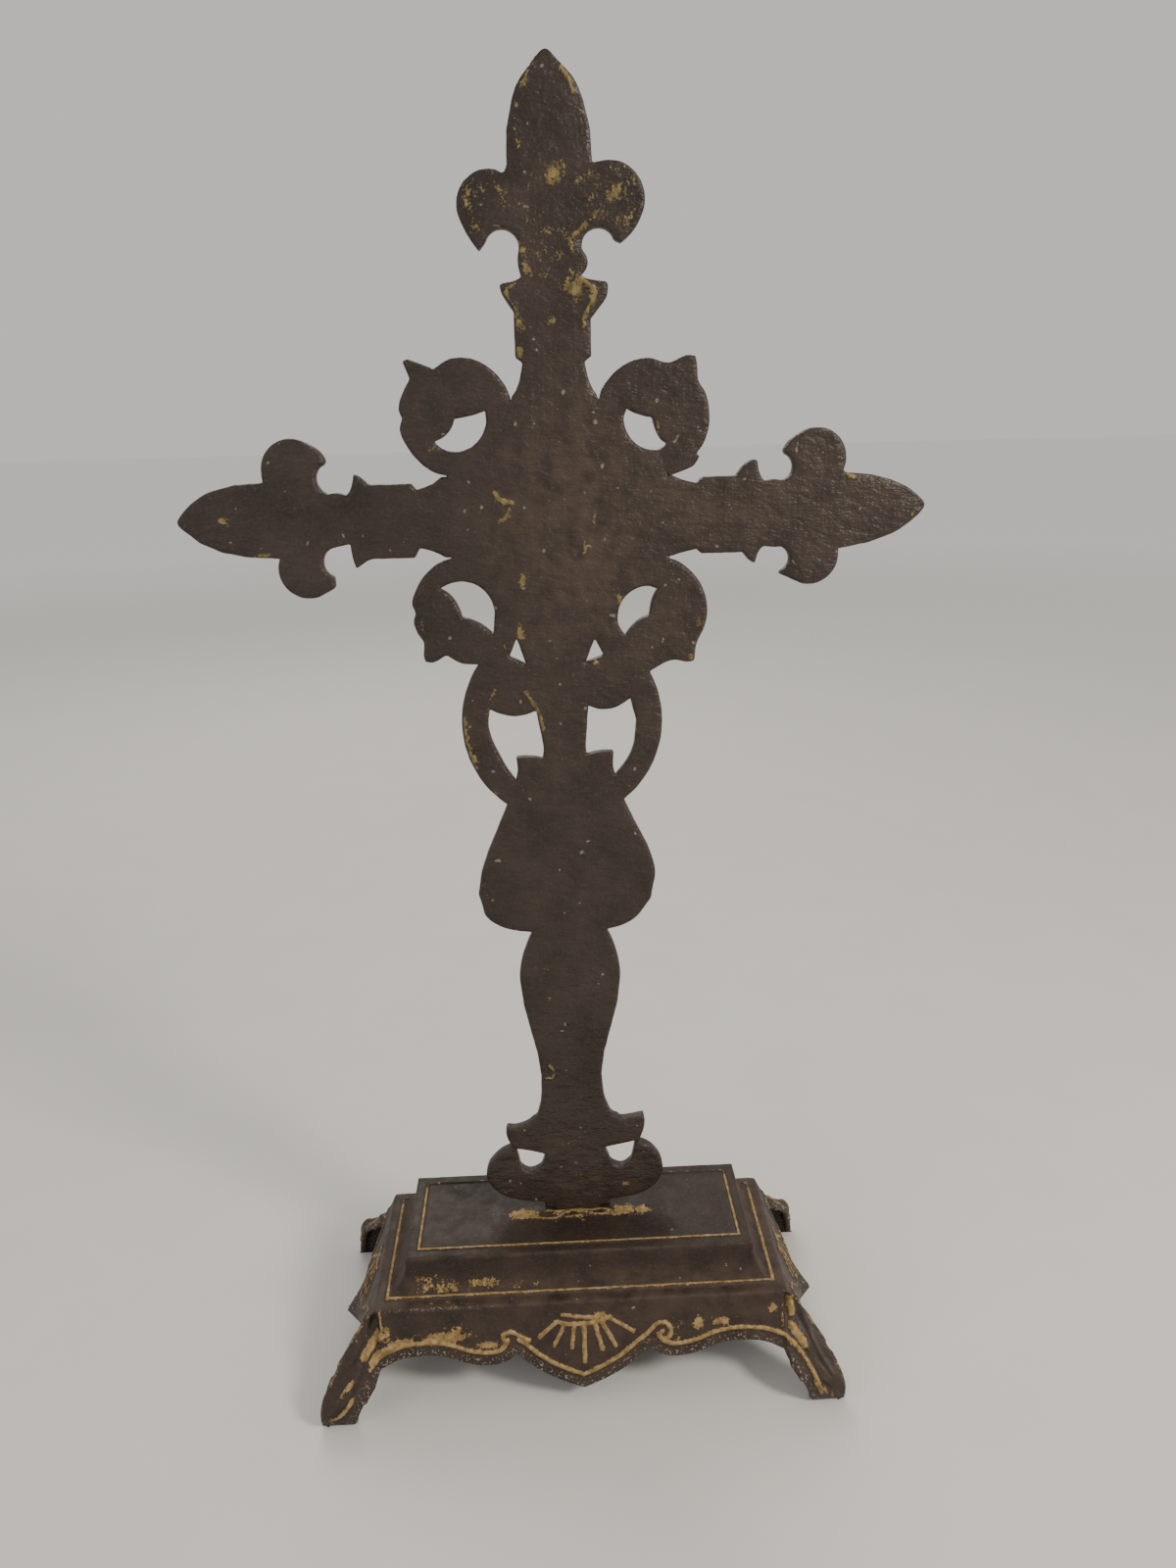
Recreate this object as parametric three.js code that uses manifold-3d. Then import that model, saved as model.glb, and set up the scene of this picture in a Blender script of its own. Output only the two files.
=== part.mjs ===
// Table cross of cast iron on its footed base: two castings, black with worn gilding.
// Millimetres, +Z up. The origin is the middle of the footprint, under the base.
// The flat back of the cross looks along -Y, and its relief looks along +Y.

import * as THREE from 'three';
import { mergeVertices } from 'three/addons/utils/BufferGeometryUtils.js';
import Module from 'manifold-3d';

// Whole cross: height of the arms' axis, and the plate's two faces
const ARM_HEIGHT = 400;
const PLATE_BACK = -1.2;
const PLATE_FACE = 4.3;

// Finials: distances along the limb are from the crossing, halves are from the limb's axis
const TOP_FINIAL = {
  reach: 160,
  petalHalf: 16.2,
  petalRoot: 124,
  petalBow: 1.04,
  lobeAt: 112,
  lobeOff: 22.5,
  lobeRadius: 12.9,
  lobeEnd: 118,
  lobeTipAt: 95.8,
  lobeTipOff: 26.3,
  cutAt: 96.5,
  cutOff: 18,
  cutRadius: 6.2,
  cutEnd: -98,
  beadHalf: 15.6,
  neckAt: 86.6,
  neckHalf: 11.2,
  collarAt: 84.4,
  collarHalf: 19.4,
  collarFlat: 3.4,
  shaftFrom: 74.2,
  shaftHalf: 14.6,
  shaftTo: 58.4,
  stepHalf: 12,
  rootAt: 44,
  rootHalf: 16.6,
};
const ARM_FINIAL = {
  ...TOP_FINIAL,
  reach: 149,
  petalHalf: 14.6,
  petalRoot: 115,
  lobeAt: 103,
  lobeOff: 18.7,
  lobeRadius: 12.1,
  lobeEnd: 122,
  lobeTipAt: 89.8,
  lobeTipOff: 22.2,
  cutAt: 88.6,
  cutOff: 15.3,
  cutRadius: 5.7,
  cutEnd: -80,
  beadHalf: 10.6,
  neckAt: 83,
  neckHalf: 9.2,
  collarAt: 79.6,
  collarHalf: 17,
  collarFlat: 0.6,
  shaftFrom: 74.4,
  shaftHalf: 13,
  shaftTo: 57.6,
  stepHalf: 10.6,
  rootAt: 45.5,
  rootHalf: 15.2,
};
// The six sides differ a little, as the sand mould left them
const TOP_LEFT = {
  ...TOP_FINIAL,
  petalHalf: 15.2,
  petalRoot: 123.5,
  lobeAt: 110.6,
  lobeOff: 22,
  lobeRadius: 12,
  lobeTipAt: 95.4,
  lobeTipOff: 26.5,
  beadHalf: 13,
  collarHalf: 18.8,
};
const TOP_RIGHT = {
  ...TOP_FINIAL,
  lobeTipAt: 97.4,
  beadHalf: 16.4,
  collarHalf: 20.8,
  collarFlat: 5.2,
  shaftFrom: 71.6,
};
const LEFT_UPPER = { ...ARM_FINIAL, reach: 149.8 };
const LEFT_LOWER = {
  ...ARM_FINIAL,
  reach: 149.8,
  petalRoot: 112,
  lobeAt: 100.8,
  lobeOff: 19.4,
  lobeRadius: 11.6,
  lobeTipAt: 90.3,
  lobeTipOff: 26.5,
  cutAt: 88.5,
  cutOff: 17,
  cutRadius: 5.9,
  beadHalf: 10.8,
  neckHalf: 9.8,
  collarAt: 82,
  collarHalf: 19.5,
  shaftHalf: 15.9,
  stepHalf: 12.2,
  rootHalf: 16,
};
const RIGHT_UPPER = {
  ...ARM_FINIAL,
  reach: 148,
  petalHalf: 13.6,
  petalBow: 0.9,
  cutOff: 16,
  cutRadius: 5.2,
  beadHalf: 11.8,
  neckHalf: 10.8,
  collarHalf: 18.6,
  collarFlat: 3.4,
  shaftFrom: 71,
  rootHalf: 13.9,
};
const RIGHT_LOWER = {
  ...ARM_FINIAL,
  reach: 148,
  petalHalf: 16.2,
  petalBow: 0.85,
  lobeAt: 102,
  lobeRadius: 11.8,
  lobeTipOff: 26,
  cutOff: 20,
  cutRadius: 5,
  beadHalf: 15.4,
  neckHalf: 14.8,
  collarHalf: 21.4,
  shaftHalf: 17,
  stepHalf: 15.2,
  rootHalf: 17.6,
};

// Solid middle where the limbs cross, as left, right, bottom and top
const CROSSING = [
  [-43, 43, 380.5, 416.5],
  [-36, 36, 372, 428],
  [-20, 20, 344, 443],
  [20, 44.8, 381, 414],
];
// Thin webs left between a scroll and the post, and between a scroll and an arm
const WEBS = [
  [[30, 345], [48, 341], [36.4, 335]],
  [[44.6, 413.6], [50, 415.4], [54, 417], [56.6, 420.8], [50, 426], [40, 420]],
];

// Scrolls in the four corners, measured out from the post's axis and away from the arms' axis
const SCROLL_OUT = 38;
const SCROLL_RADIUS = 22.4;
const HORN_BLEND = 30;
const SCROLLS = [
  { side: -1, up: 1, off: 37, tip: [57.6, 58.8], blunt: 1, hornFrom: 66, hornTo: 40, nick: 1.3, dip: 2.6 },
  { side: 1, up: 1, off: 35.6, tip: [55.4, 58.2], blunt: 5, hornFrom: 74, hornTo: 38, nick: 0, dip: 1.6 },
  { side: -1, up: -1, off: 38, tip: [57, 58.6], blunt: 3, hornFrom: 62, hornTo: 34, nick: 1.2, dip: 2.2 },
  { side: 1, up: -1, off: 40, tip: [55.8, 61.4], blunt: 4, hornFrom: 68, hornTo: 34, nick: 0, dip: 0.4 },
];
// The crescent hole of each scroll: its eye, its radius, its two points and its blunt corner
const CRESCENTS = [
  {
    side: -1, up: 1, eye: [39.2, 37], radius: 12.4,
    inner: [27, 39.4], outer: [47.3, 28.2], corner: [39, 36.7],
  },
  {
    side: 1, up: 1, eye: [38.8, 35.6], radius: 12,
    inner: [27.9, 39], outer: [43.6, 25.6], corner: [37.8, 35.7],
  },
  {
    side: -1, up: -1, eye: [40.2, 39], radius: 13.2,
    inner: [27.9, 47.2], outer: [48.6, 28.3], corner: [40.2, 40.4],
  },
  {
    side: 1, up: -1, eye: [36, 42], radius: 12.5,
    inner: [26.4, 49.4], outer: [40, 30.8], corner: [36.4, 41.4],
  },
];
const GUSSET_HOLES = [
  [[-18.5, 350.4], [-21.6, 342.9], [-15, 339.6]],
  [[13.8, 349.4], [9.8, 339.7], [17.2, 342.4]],
];

// Ring below the crossing, with its two holes
const RING = { side: -0.6, centre: 314, halfWidth: 42.4, halfHeight: 44 };
const RING_HOLES = [
  {
    side: -1, topIn: [11.6, 319.6], topOut: [30.9, 320.8], topSag: 4.8,
    bulge: [34.4, 311.6], heel: [27, 297], tip: [21.3, 289], ledge: [15, 299.4], inner: 9.4,
  },
  {
    side: 1, topIn: [10.6, 321], topOut: [28.2, 323.6], topSag: 4.4,
    bulge: [34, 311], heel: [29, 297], tip: [21.6, 290], ledge: [15, 300.8], inner: 9.6,
  },
];

// Pear, baluster and foot of the post: half widths and heights
const PEAR = {
  neckTop: 286,
  top: 278,
  topHalf: 25.6,
  upperBend: [31, 264],
  lowerBend: [27, 218.5],
  belly: [12, -16.5],
  foot: 217.3,
  footHalf: 15.9,
};
const PEAR_SIDES = [{ widest: 237, half: 39.9 }, { widest: 243, half: 38.7 }];
const BALUSTER = {
  neckBend: [20.5, 210],
  shoulder: 202,
  widest: 194,
  belly: 177,
  waistTop: 157,
  waist: 143,
  waistFoot: 127,
  leafBend: [17.5, 118.8],
  leafTop: 117.6,
  leafHalf: 22,
};
const BALUSTER_SIDES = [{ half: 23.4, waistHalf: 15.4 }, { half: 22.6, waistHalf: 13.1 }];
const LEAF = { bendHalf: 27, lower: 104.6, lowerHalf: 30.6 };
const KIDNEY = {
  upperBend: [37, 102.6],
  shoulder: 96,
  middle: 89,
  hip: 82,
  lowerBend: [37, 76.4],
  bottom: 74,
  bottomHalf: 29,
  neckBend: 20,
};
const FOOT_SIDES = [
  { leafHalf: 33.6, leafTip: 115.6, half: 43.8 },
  { leafHalf: 33.8, leafTip: 119.4, half: 42 },
];
const EYE_HOLES = [
  { side: -1, outer: [28.8, 103.4], inner: [14.8, 99.4], sag: [20, 101.8], low: 86.3 },
  { side: 1, outer: [28.8, 105], inner: [13.8, 102], sag: [20, 103.4], low: 86.9 },
];

// Joint of the two castings: the shoulder stands on the boss and the tenon goes through its slot
const JOINT_GAP = 0.3;
const NECK_HALF = 16;
const TENON_HALF = 11;
const TENON_LENGTH = 7.5;
const BOSS = { half: 37, depth: 5.6, height: 1.4 };

// Relief on the cross's face: heights, and how far each form stays inside the outline
const RELIEF = { petal: 3, lobe: 3, collar: 2.4, shaft: 1.8, scroll: 2.8, ring: 2.4, body: 3.2 };
const MARGIN = { lobe: 3.4, collar: 3.4, shaft: 3, pear: 6, baluster: 4, ring: 2, ringBand: 9.6 };
const ROSETTE = { radius: 12, height: 5, petals: 8, petalRadius: 5.4, petalHeight: 3, petalAt: 15.5 };
const SCROLL_BAND = { outer: 20.8, inner: 13.8, from: 62, to: 395 };
const FOOT_VOLUTE = { at: [25, 90], outer: 14.4, inner: 9, from: -150, to: 60 };
const RING_BAR = [-6.5, 6.5, 274, 378];

// Base: half widths, half depths and heights of its mouldings
const BASE_TOP = { width: 81.4, depth: 29.3, height: 67, edge: 2.4 };
const COVE_FOOT = { width: 91.4, depth: 35.6, height: 49.6, line: 1.6 };
const LEDGE = { width: 95.8, depth: 40.8, height: 48.5 };
const FEET = { width: 121, depth: 57.6 };
const APRON_FOOT = 55.3;
const WALL = 3.6;
const TOP_LINE = { width: 76.5, depth: 24.4, line: 1.5, height: 0.7 };

// End aprons: drawn in at their middle height, with a lip that flares out at the pendant
const END_WAIST = { half: 108, height: 24.5, bend: [105.4, 31] };
const END_LIP = { half: 118.2, height: 14, bend: [110.4, 17.6] };

// Legs: hollowed on the front below the ledge, then swept out to a toe
const LEG_FROM = { width: 94, depth: 35 };
const LEG_OUT = { half: 118.3, height: 15.6, upper: [99, 40], lower: [113.4, 27] };
const LEG_HOLLOW = { depth: 36.6, height: 41 };
const LEG_SWEEP = { upper: [37.5, 36], lower: [50, 27] };
const TOE = { width: 120.8, depth: 60.6, height: 15, low: 6 };

// Lower edges of the aprons: half widths and heights of their turning points
const FRONT_APRON = {
  footIn: 104.7,
  arch: 75,
  archTop: 26.6,
  bulge: 46.4,
  bulgeLow: 21.2,
  cusp: 31.2,
  cuspTop: 26.2,
  tip: 9,
  archOut: [91, 27],
  footCurve: [101.5, 18.5],
};
const END_APRON = {
  footIn: 54,
  arch: 32,
  archTop: 33.6,
  shoulder: [28.2, 31.4],
  flank: [19, 22.4],
  tip: 13.8,
  archOut: [38, 30],
  footCurve: [53, 20],
};
const APRON_RELIEF = 0.9;
const APRON_LINE = { rise: 7.4, width: 1.8 };
const FRONT_SHELL = { ribs: 7, root: 40, rootHalf: 6.4, spread: 66, length: 17.5, width: 1.7, taper: 0.24 };
const END_SHELL = { ribs: 5, root: 43, rootHalf: 4, spread: 40, length: 19, width: 1.4, taper: 0.3 };
const VOLUTE = { at: 36.4, height: 33, radius: 3.6, stroke: 1.6, from: -110, to: 180 };
// Leaf strokes on a leg's front, as starts and ends measured out from the middle and up
const LEG_LEAF = [
  [[98.5, 43], [101, 34]],
  [[99.5, 33], [107, 24]],
  [[107, 21], [112.5, 12]],
];
const LEAF_STROKE = 2.2;

// Fineness of curves, and the shortest edge and the slightest turn an outline keeps
const CURVE_STEPS = 4;
const ARC_STEP = 20;
const SHORTEST_EDGE = 0.8;
const DOME_SIDES = 8;
const STRAIGHT = 0.004;
const FLATNESS = 0.06;
const SAFE = 200;

const wasm = await Module();
wasm.setup();

const rad = THREE.MathUtils.degToRad;

// A closed geometry as a solid that can be joined and cut
function solidOf(geometry) {
  const bare = geometry.clone();
  bare.deleteAttribute('normal');
  bare.deleteAttribute('uv');
  const welded = mergeVertices(bare);
  return new wasm.Manifold(new wasm.Mesh({
    numProp: 3,
    vertProperties: new Float32Array(welded.attributes.position.array),
    triVerts: new Uint32Array(welded.index.array),
  }));
}

function geometryOf(solid) {
  const mesh = solid.getMesh();
  const geometry = new THREE.BufferGeometry();
  geometry.setAttribute('position', new THREE.BufferAttribute(mesh.vertProperties, 3));
  geometry.setIndex(new THREE.BufferAttribute(mesh.triVerts, 1));
  geometry.computeVertexNormals();
  return geometry;
}

function joined(solids) {
  return solids.reduce((whole, piece) => whole.add(piece));
}

// An outline drawn in X and Z, made as deep as the span from yNear to yFar
function upright(shape, yNear, yFar) {
  const geometry = new THREE.ExtrudeGeometry(shape, { depth: yFar - yNear, bevelEnabled: false });
  geometry.rotateX(Math.PI / 2);
  geometry.translate(0, yFar, 0);
  return solidOf(geometry);
}

// An outline drawn in Y and Z, run along X to the reach on both sides
function along(shape, reach) {
  const geometry = new THREE.ExtrudeGeometry(shape, { depth: 2 * reach, bevelEnabled: false });
  geometry.rotateX(Math.PI / 2);
  geometry.rotateZ(Math.PI / 2);
  geometry.translate(-reach, 0, 0);
  return solidOf(geometry);
}

// An outline drawn in X and Y, standing between two heights
function flat(shape, low, high) {
  const geometry = new THREE.ExtrudeGeometry(shape, { depth: high - low, bevelEnabled: false });
  geometry.translate(0, 0, low);
  return solidOf(geometry);
}

function plate(shape) {
  return upright(shape, PLATE_BACK, PLATE_FACE);
}

function through(shape) {
  return upright(shape, -SAFE, SAFE);
}

// A raised form on the cross's face, whose top is drawn in by the slope on every side
function ridge(shape, height, slope) {
  const geometry = new THREE.ExtrudeGeometry(shape, { depth: height + 1, bevelEnabled: false });
  geometry.computeBoundingBox();
  const middle = geometry.boundingBox.getCenter(new THREE.Vector3());
  const size = geometry.boundingBox.getSize(new THREE.Vector3());
  const places = geometry.attributes.position;
  for (let i = 0; i < places.count; i += 1) {
    if (places.getZ(i) === 0) {
      const shrinkX = 1 - (2 * slope) / size.x;
      const shrinkY = 1 - (2 * slope) / size.y;
      places.setX(i, middle.x + shrinkX * (places.getX(i) - middle.x));
      places.setY(i, middle.y + shrinkY * (places.getY(i) - middle.y));
    }
  }
  geometry.rotateX(Math.PI / 2);
  geometry.translate(0, PLATE_FACE + height, 0);
  return solidOf(geometry);
}

// A raised band on the cross's face with bevelled edges; its other half is sunk in the plate
function raised(shape, height, slope) {
  const geometry = new THREE.ExtrudeGeometry(shape, {
    depth: 0.6,
    bevelThickness: height,
    bevelSize: slope,
    bevelOffset: -slope,
    bevelSegments: 1,
  });
  geometry.rotateX(Math.PI / 2);
  geometry.translate(0, PLATE_FACE, 0);
  return solidOf(geometry);
}

function dome(x, z, radius, height) {
  const foot = [new THREE.Vector2(0, -1), new THREE.Vector2(radius, -1), new THREE.Vector2(radius, 0)];
  const cap = [35, 65, 90].map((turn) => (
    new THREE.Vector2(turn < 90 ? radius * Math.cos(rad(turn)) : 0, height * Math.sin(rad(turn)))
  ));
  const geometry = new THREE.LatheGeometry([...foot, ...cap], DOME_SIDES);
  geometry.translate(x, PLATE_FACE, z);
  return solidOf(geometry);
}

// An outline without points that crowd each other or lie in the line of their neighbours
function outline(points) {
  const apart = points.reduce((kept, point) => (
    kept.length && kept.at(-1).distanceTo(point) < SHORTEST_EDGE ? kept : [...kept, point]
  ), []);
  if (apart.at(-1).distanceTo(apart[0]) < SHORTEST_EDGE) {
    apart.pop();
  }
  const turning = apart.filter((point, i) => {
    const before = apart.at(i - 1).clone().sub(point);
    const after = apart[(i + 1) % apart.length].clone().sub(point);
    return Math.abs(before.cross(after)) > STRAIGHT * before.length() * after.length();
  });
  return new THREE.Shape(turning);
}

// Two half outlines from the top down, the second one mirrored, as one closed shape
function mirrored(right, left = right) {
  const back = left.map((point) => new THREE.Vector2(-point.x, point.y)).reverse();
  return outline([...right, ...back]);
}

function corners(points) {
  return outline(points.map((point) => new THREE.Vector2(...point)));
}

function box(left, right, bottom, top) {
  return corners([[left, bottom], [right, bottom], [right, top], [left, top]]);
}

function turnedTo(shape, degrees, rise) {
  const middle = new THREE.Vector2();
  const lift = new THREE.Vector2(0, rise);
  const points = shape.getPoints(CURVE_STEPS);
  return new THREE.Shape(points.map((point) => point.clone().rotateAround(middle, rad(degrees)).add(lift)));
}

// One side of a finial, from the petal's point in to the crossing: lobe, undercut, bead, collar, shaft
function finialSide(size) {
  const lobeStart = Math.atan2(size.petalHalf - size.lobeOff, size.petalRoot - size.lobeAt);
  const petal = size.reach - size.petalRoot;
  const collarBack = size.collarAt - size.collarFlat;
  const path = new THREE.Path();
  path.moveTo(size.reach, 0);
  path.quadraticCurveTo(size.reach - 0.1, 1.4, size.reach - 1.6, 2.6);
  const bow = size.petalHalf * size.petalBow;
  path.quadraticCurveTo(size.reach - petal / 3, bow, size.petalRoot, size.petalHalf);
  path.absarc(size.lobeAt, size.lobeOff, size.lobeRadius, lobeStart, rad(size.lobeEnd), false);
  const heel = path.currentPoint.clone();
  path.quadraticCurveTo(heel.x - 5, heel.y - 2.2, size.lobeTipAt, size.lobeTipOff);
  path.absarc(size.cutAt, size.cutOff, size.cutRadius, rad(70), rad(size.cutEnd), true);
  path.quadraticCurveTo(size.neckAt + 4, size.beadHalf, size.neckAt, size.neckHalf);
  path.quadraticCurveTo(size.collarAt + 1, size.neckHalf + 1, size.collarAt, size.collarHalf);
  path.quadraticCurveTo(size.collarAt, size.collarHalf + 1.2, collarBack, size.collarHalf);
  path.quadraticCurveTo(collarBack - 2, size.collarHalf - 1, size.shaftFrom, size.shaftHalf);
  path.lineTo(size.shaftTo, size.shaftHalf);
  path.lineTo(size.shaftTo - 2, size.stepHalf);
  path.quadraticCurveTo(size.rootAt + 4, size.stepHalf + 1.2, size.rootAt, size.rootHalf);
  path.lineTo(0, size.rootHalf);
  return path.getPoints(CURVE_STEPS);
}

// Sides are named as seen with the finial's point upwards
function finial(left, right, degrees) {
  const upwards = (points) => points.map((point) => new THREE.Vector2(point.y, point.x));
  const shape = mirrored(upwards(finialSide(right)), upwards(finialSide(left)));
  return turnedTo(shape, degrees, ARM_HEIGHT);
}

// Points measured out from the post and away from the arms, set in one of the four corners
function inCorner(corner, points) {
  return corners(points.map(([out, off]) => [corner.side * out, ARM_HEIGHT + corner.up * off]));
}

// Points round a centre, whose radius may change with the turn
function arcPoints([x, y], radius, from, to) {
  const steps = Math.max(2, Math.round(Math.abs(to - from) / ARC_STEP));
  const radiusAt = typeof radius === 'function' ? radius : () => radius;
  return Array.from({ length: steps + 1 }, (_, i) => {
    const turn = from + ((to - from) * i) / steps;
    return [x + radiusAt(turn) * Math.cos(rad(turn)), y + radiusAt(turn) * Math.sin(rad(turn))];
  });
}

// A scroll's disc with its horn, and the nick where the curl meets its outer edge
function scroll(size) {
  const centre = [SCROLL_OUT, size.off];
  const [tipOut, tipOff] = size.tip;
  const rim = (turn) => SCROLL_RADIUS - size.dip * Math.max(0, 1 - (turn - size.hornFrom) / HORN_BLEND);
  return inCorner(size, [
    ...arcPoints(centre, rim, size.hornFrom, 352),
    [SCROLL_OUT + SCROLL_RADIUS - size.nick, size.off],
    ...arcPoints(centre, SCROLL_RADIUS, 368, 360 + size.hornTo),
    [tipOut, tipOff - size.blunt],
    [tipOut - size.blunt * 0.15, tipOff - 0.5],
    [tipOut - 1.5 - size.blunt * 0.4, tipOff],
  ]);
}

function curvePoints(from, bend, to) {
  const vectors = [from, bend, to].map((point) => new THREE.Vector2(...point));
  return new THREE.QuadraticBezierCurve(...vectors).getPoints(4).map((point) => [point.x, point.y]);
}

function crescent(size) {
  const { eye, inner, outer, corner } = size;
  const angleOf = ([out, off]) => THREE.MathUtils.radToDeg(Math.atan2(off - eye[1], out - eye[0]));
  const around = arcPoints(eye, size.radius, angleOf(inner), angleOf(outer) + 360);
  const eyeSide = [corner[0] + 0.2 * (outer[0] - corner[0]), outer[1] + 0.25 * (corner[1] - outer[1])];
  const archSide = [(corner[0] + inner[0]) / 2, corner[1] + 0.1 * (inner[1] - corner[1])];
  return inCorner(size, [
    inner,
    ...around.slice(1, -1),
    ...curvePoints(outer, eyeSide, corner),
    ...curvePoints(corner, archSide, inner).slice(1, -1),
  ]);
}

function onSide(side, path) {
  return outline(path.getPoints(CURVE_STEPS).map((point) => new THREE.Vector2(side * point.x, point.y)));
}

function ringHole({ side, topIn, topOut, topSag, bulge, heel, tip, ledge, inner }) {
  const path = new THREE.Path();
  path.moveTo(...topIn);
  path.quadraticCurveTo((topIn[0] + topOut[0]) / 2, topIn[1] - topSag, ...topOut);
  path.bezierCurveTo(...bulge, ...heel, ...tip);
  path.lineTo(tip[0] - 0.9, tip[1] + 4);
  path.lineTo(tip[0] - 0.6, ledge[1]);
  path.quadraticCurveTo(ledge[0], ledge[1] + 0.6, inner, ledge[1] - 1);
  path.lineTo(inner - 0.4, ledge[1] + 4);
  return onSide(side, path);
}

function eyeHole({ side, outer, inner, sag, low }) {
  const path = new THREE.Path();
  path.moveTo(...outer);
  path.quadraticCurveTo(...sag, ...inner);
  path.bezierCurveTo(inner[0] + 2, low, outer[0], low, ...outer);
  return onSide(side, path);
}

function pear(inset = 0) {
  const foot = PEAR.foot + inset;
  const neck = PEAR.neckTop - 2 * inset;
  const [left, right] = PEAR_SIDES.map(({ widest, half }) => {
    const path = new THREE.Path();
    path.moveTo(0, neck);
    path.lineTo(PEAR.topHalf - 4 - inset, neck);
    path.lineTo(PEAR.topHalf - inset, PEAR.top - inset);
    const [bendHalf, bend] = PEAR.upperBend;
    path.bezierCurveTo(bendHalf - inset, bend, half - inset, widest + PEAR.belly[0], half - inset, widest);
    const low = widest + PEAR.belly[1] + inset;
    const [lowHalf, lowBend] = PEAR.lowerBend;
    path.bezierCurveTo(half - inset, low, lowHalf - inset, lowBend + inset, PEAR.footHalf - inset, foot);
    path.lineTo(0, foot);
    return path.getPoints(CURVE_STEPS);
  });
  return mirrored(right, left);
}

function baluster(inset = 0) {
  const { shoulder, widest, belly, waistTop, waist, waistFoot, leafTop, leafHalf } = BALUSTER;
  const [neckHalf, neckBend] = BALUSTER.neckBend;
  const [leafBendHalf, leafBend] = BALUSTER.leafBend;
  const neck = PEAR.foot + 2 - 3 * inset;
  const [left, right] = BALUSTER_SIDES.map((size) => {
    const half = size.half - inset;
    const slim = size.waistHalf - inset;
    const path = new THREE.Path();
    path.moveTo(0, neck);
    path.lineTo(PEAR.footHalf - inset, neck);
    path.bezierCurveTo(neckHalf - inset, neckBend - inset, half, shoulder, half, widest);
    path.bezierCurveTo(half, belly, slim, waistTop, slim, waist);
    path.bezierCurveTo(slim, waistFoot, leafBendHalf - inset, leafBend, leafHalf - inset, leafTop);
    path.lineTo(0, leafTop);
    return path.getPoints(CURVE_STEPS);
  });
  return mirrored(right, left);
}

// Leaf wings over the kidney-shaped foot, its neck and its tenon
function foot(shoulder) {
  const [left, right] = FOOT_SIDES.map(({ leafHalf, leafTip, half }) => {
    const path = new THREE.Path();
    path.moveTo(0, BALUSTER.leafTop + 2);
    path.lineTo(BALUSTER.leafHalf - 2, BALUSTER.leafTop + 2);
    path.lineTo(BALUSTER.leafHalf, BALUSTER.leafTop);
    path.quadraticCurveTo(LEAF.bendHalf, leafTip - 1.6, leafHalf - 1, leafTip);
    path.quadraticCurveTo(leafHalf + 1, leafTip - 4, LEAF.lowerHalf, LEAF.lower);
    path.bezierCurveTo(...KIDNEY.upperBend, half, KIDNEY.shoulder, half, KIDNEY.middle);
    path.bezierCurveTo(half, KIDNEY.hip, ...KIDNEY.lowerBend, KIDNEY.bottomHalf, KIDNEY.bottom);
    path.quadraticCurveTo(KIDNEY.neckBend, KIDNEY.bottom - 1.6, NECK_HALF, KIDNEY.bottom - 2);
    path.lineTo(NECK_HALF, shoulder);
    path.lineTo(TENON_HALF, shoulder);
    path.lineTo(TENON_HALF, shoulder - TENON_LENGTH);
    path.lineTo(0, shoulder - TENON_LENGTH);
    return path.getPoints(CURVE_STEPS);
  });
  return mirrored(right, left);
}

// A flat band between two arcs about one centre
function arcBand(centre, outer, inner, from, to) {
  const outside = arcPoints(centre, outer, from, to);
  const inside = arcPoints(centre, inner, from, to).reverse();
  return [...outside, ...inside];
}

function ellipse({ side, centre, halfWidth, halfHeight }, inset = 0) {
  const shape = new THREE.Shape();
  shape.absellipse(side, centre, halfWidth - inset, halfHeight - inset, 0, 2 * Math.PI);
  return new THREE.Shape(shape.getPoints(24).slice(0, -1));
}

// Petal ridge, lobe domes and collar bar of one finial, on the cross's face
function finialRelief(size, degrees) {
  const petal = new THREE.Path();
  petal.moveTo(0, size.reach - 5);
  petal.quadraticCurveTo(size.petalHalf * 0.9, size.reach - 16, size.petalHalf * 0.68, size.petalRoot - 6);
  petal.quadraticCurveTo(size.neckHalf * 0.7, size.lobeAt - 6, size.neckHalf * 0.5, size.neckAt + 3);
  const collarHalf = size.collarHalf - MARGIN.collar;
  const collar = box(-collarHalf, collarHalf, size.shaftFrom + 1.5, size.collarAt - 1);
  const shaftHalf = size.stepHalf - MARGIN.shaft;
  const shaft = box(-shaftHalf, shaftHalf, 22, size.shaftFrom - 1);
  const lobes = [-1, 1].map((side) => {
    const spot = new THREE.Vector2(side * size.lobeOff, size.lobeAt);
    spot.rotateAround(new THREE.Vector2(), rad(degrees));
    return dome(spot.x, spot.y + ARM_HEIGHT, size.lobeRadius - MARGIN.lobe, RELIEF.lobe);
  });
  return [
    ridge(turnedTo(mirrored(petal.getPoints(4)), degrees, ARM_HEIGHT), RELIEF.petal, 5),
    ridge(turnedTo(collar, degrees, ARM_HEIGHT), RELIEF.collar, 1.6),
    ridge(turnedTo(shaft, degrees, ARM_HEIGHT), RELIEF.shaft, 2),
    ...lobes,
  ];
}

function rosette() {
  const petals = Array.from({ length: ROSETTE.petals }, (_, i) => {
    const turn = (2 * Math.PI * i) / ROSETTE.petals;
    const x = ROSETTE.petalAt * Math.cos(turn);
    const z = ARM_HEIGHT + ROSETTE.petalAt * Math.sin(turn);
    return dome(x, z, ROSETTE.petalRadius, ROSETTE.petalHeight);
  });
  return [dome(0, ARM_HEIGHT, ROSETTE.radius, ROSETTE.height), ...petals];
}

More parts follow.
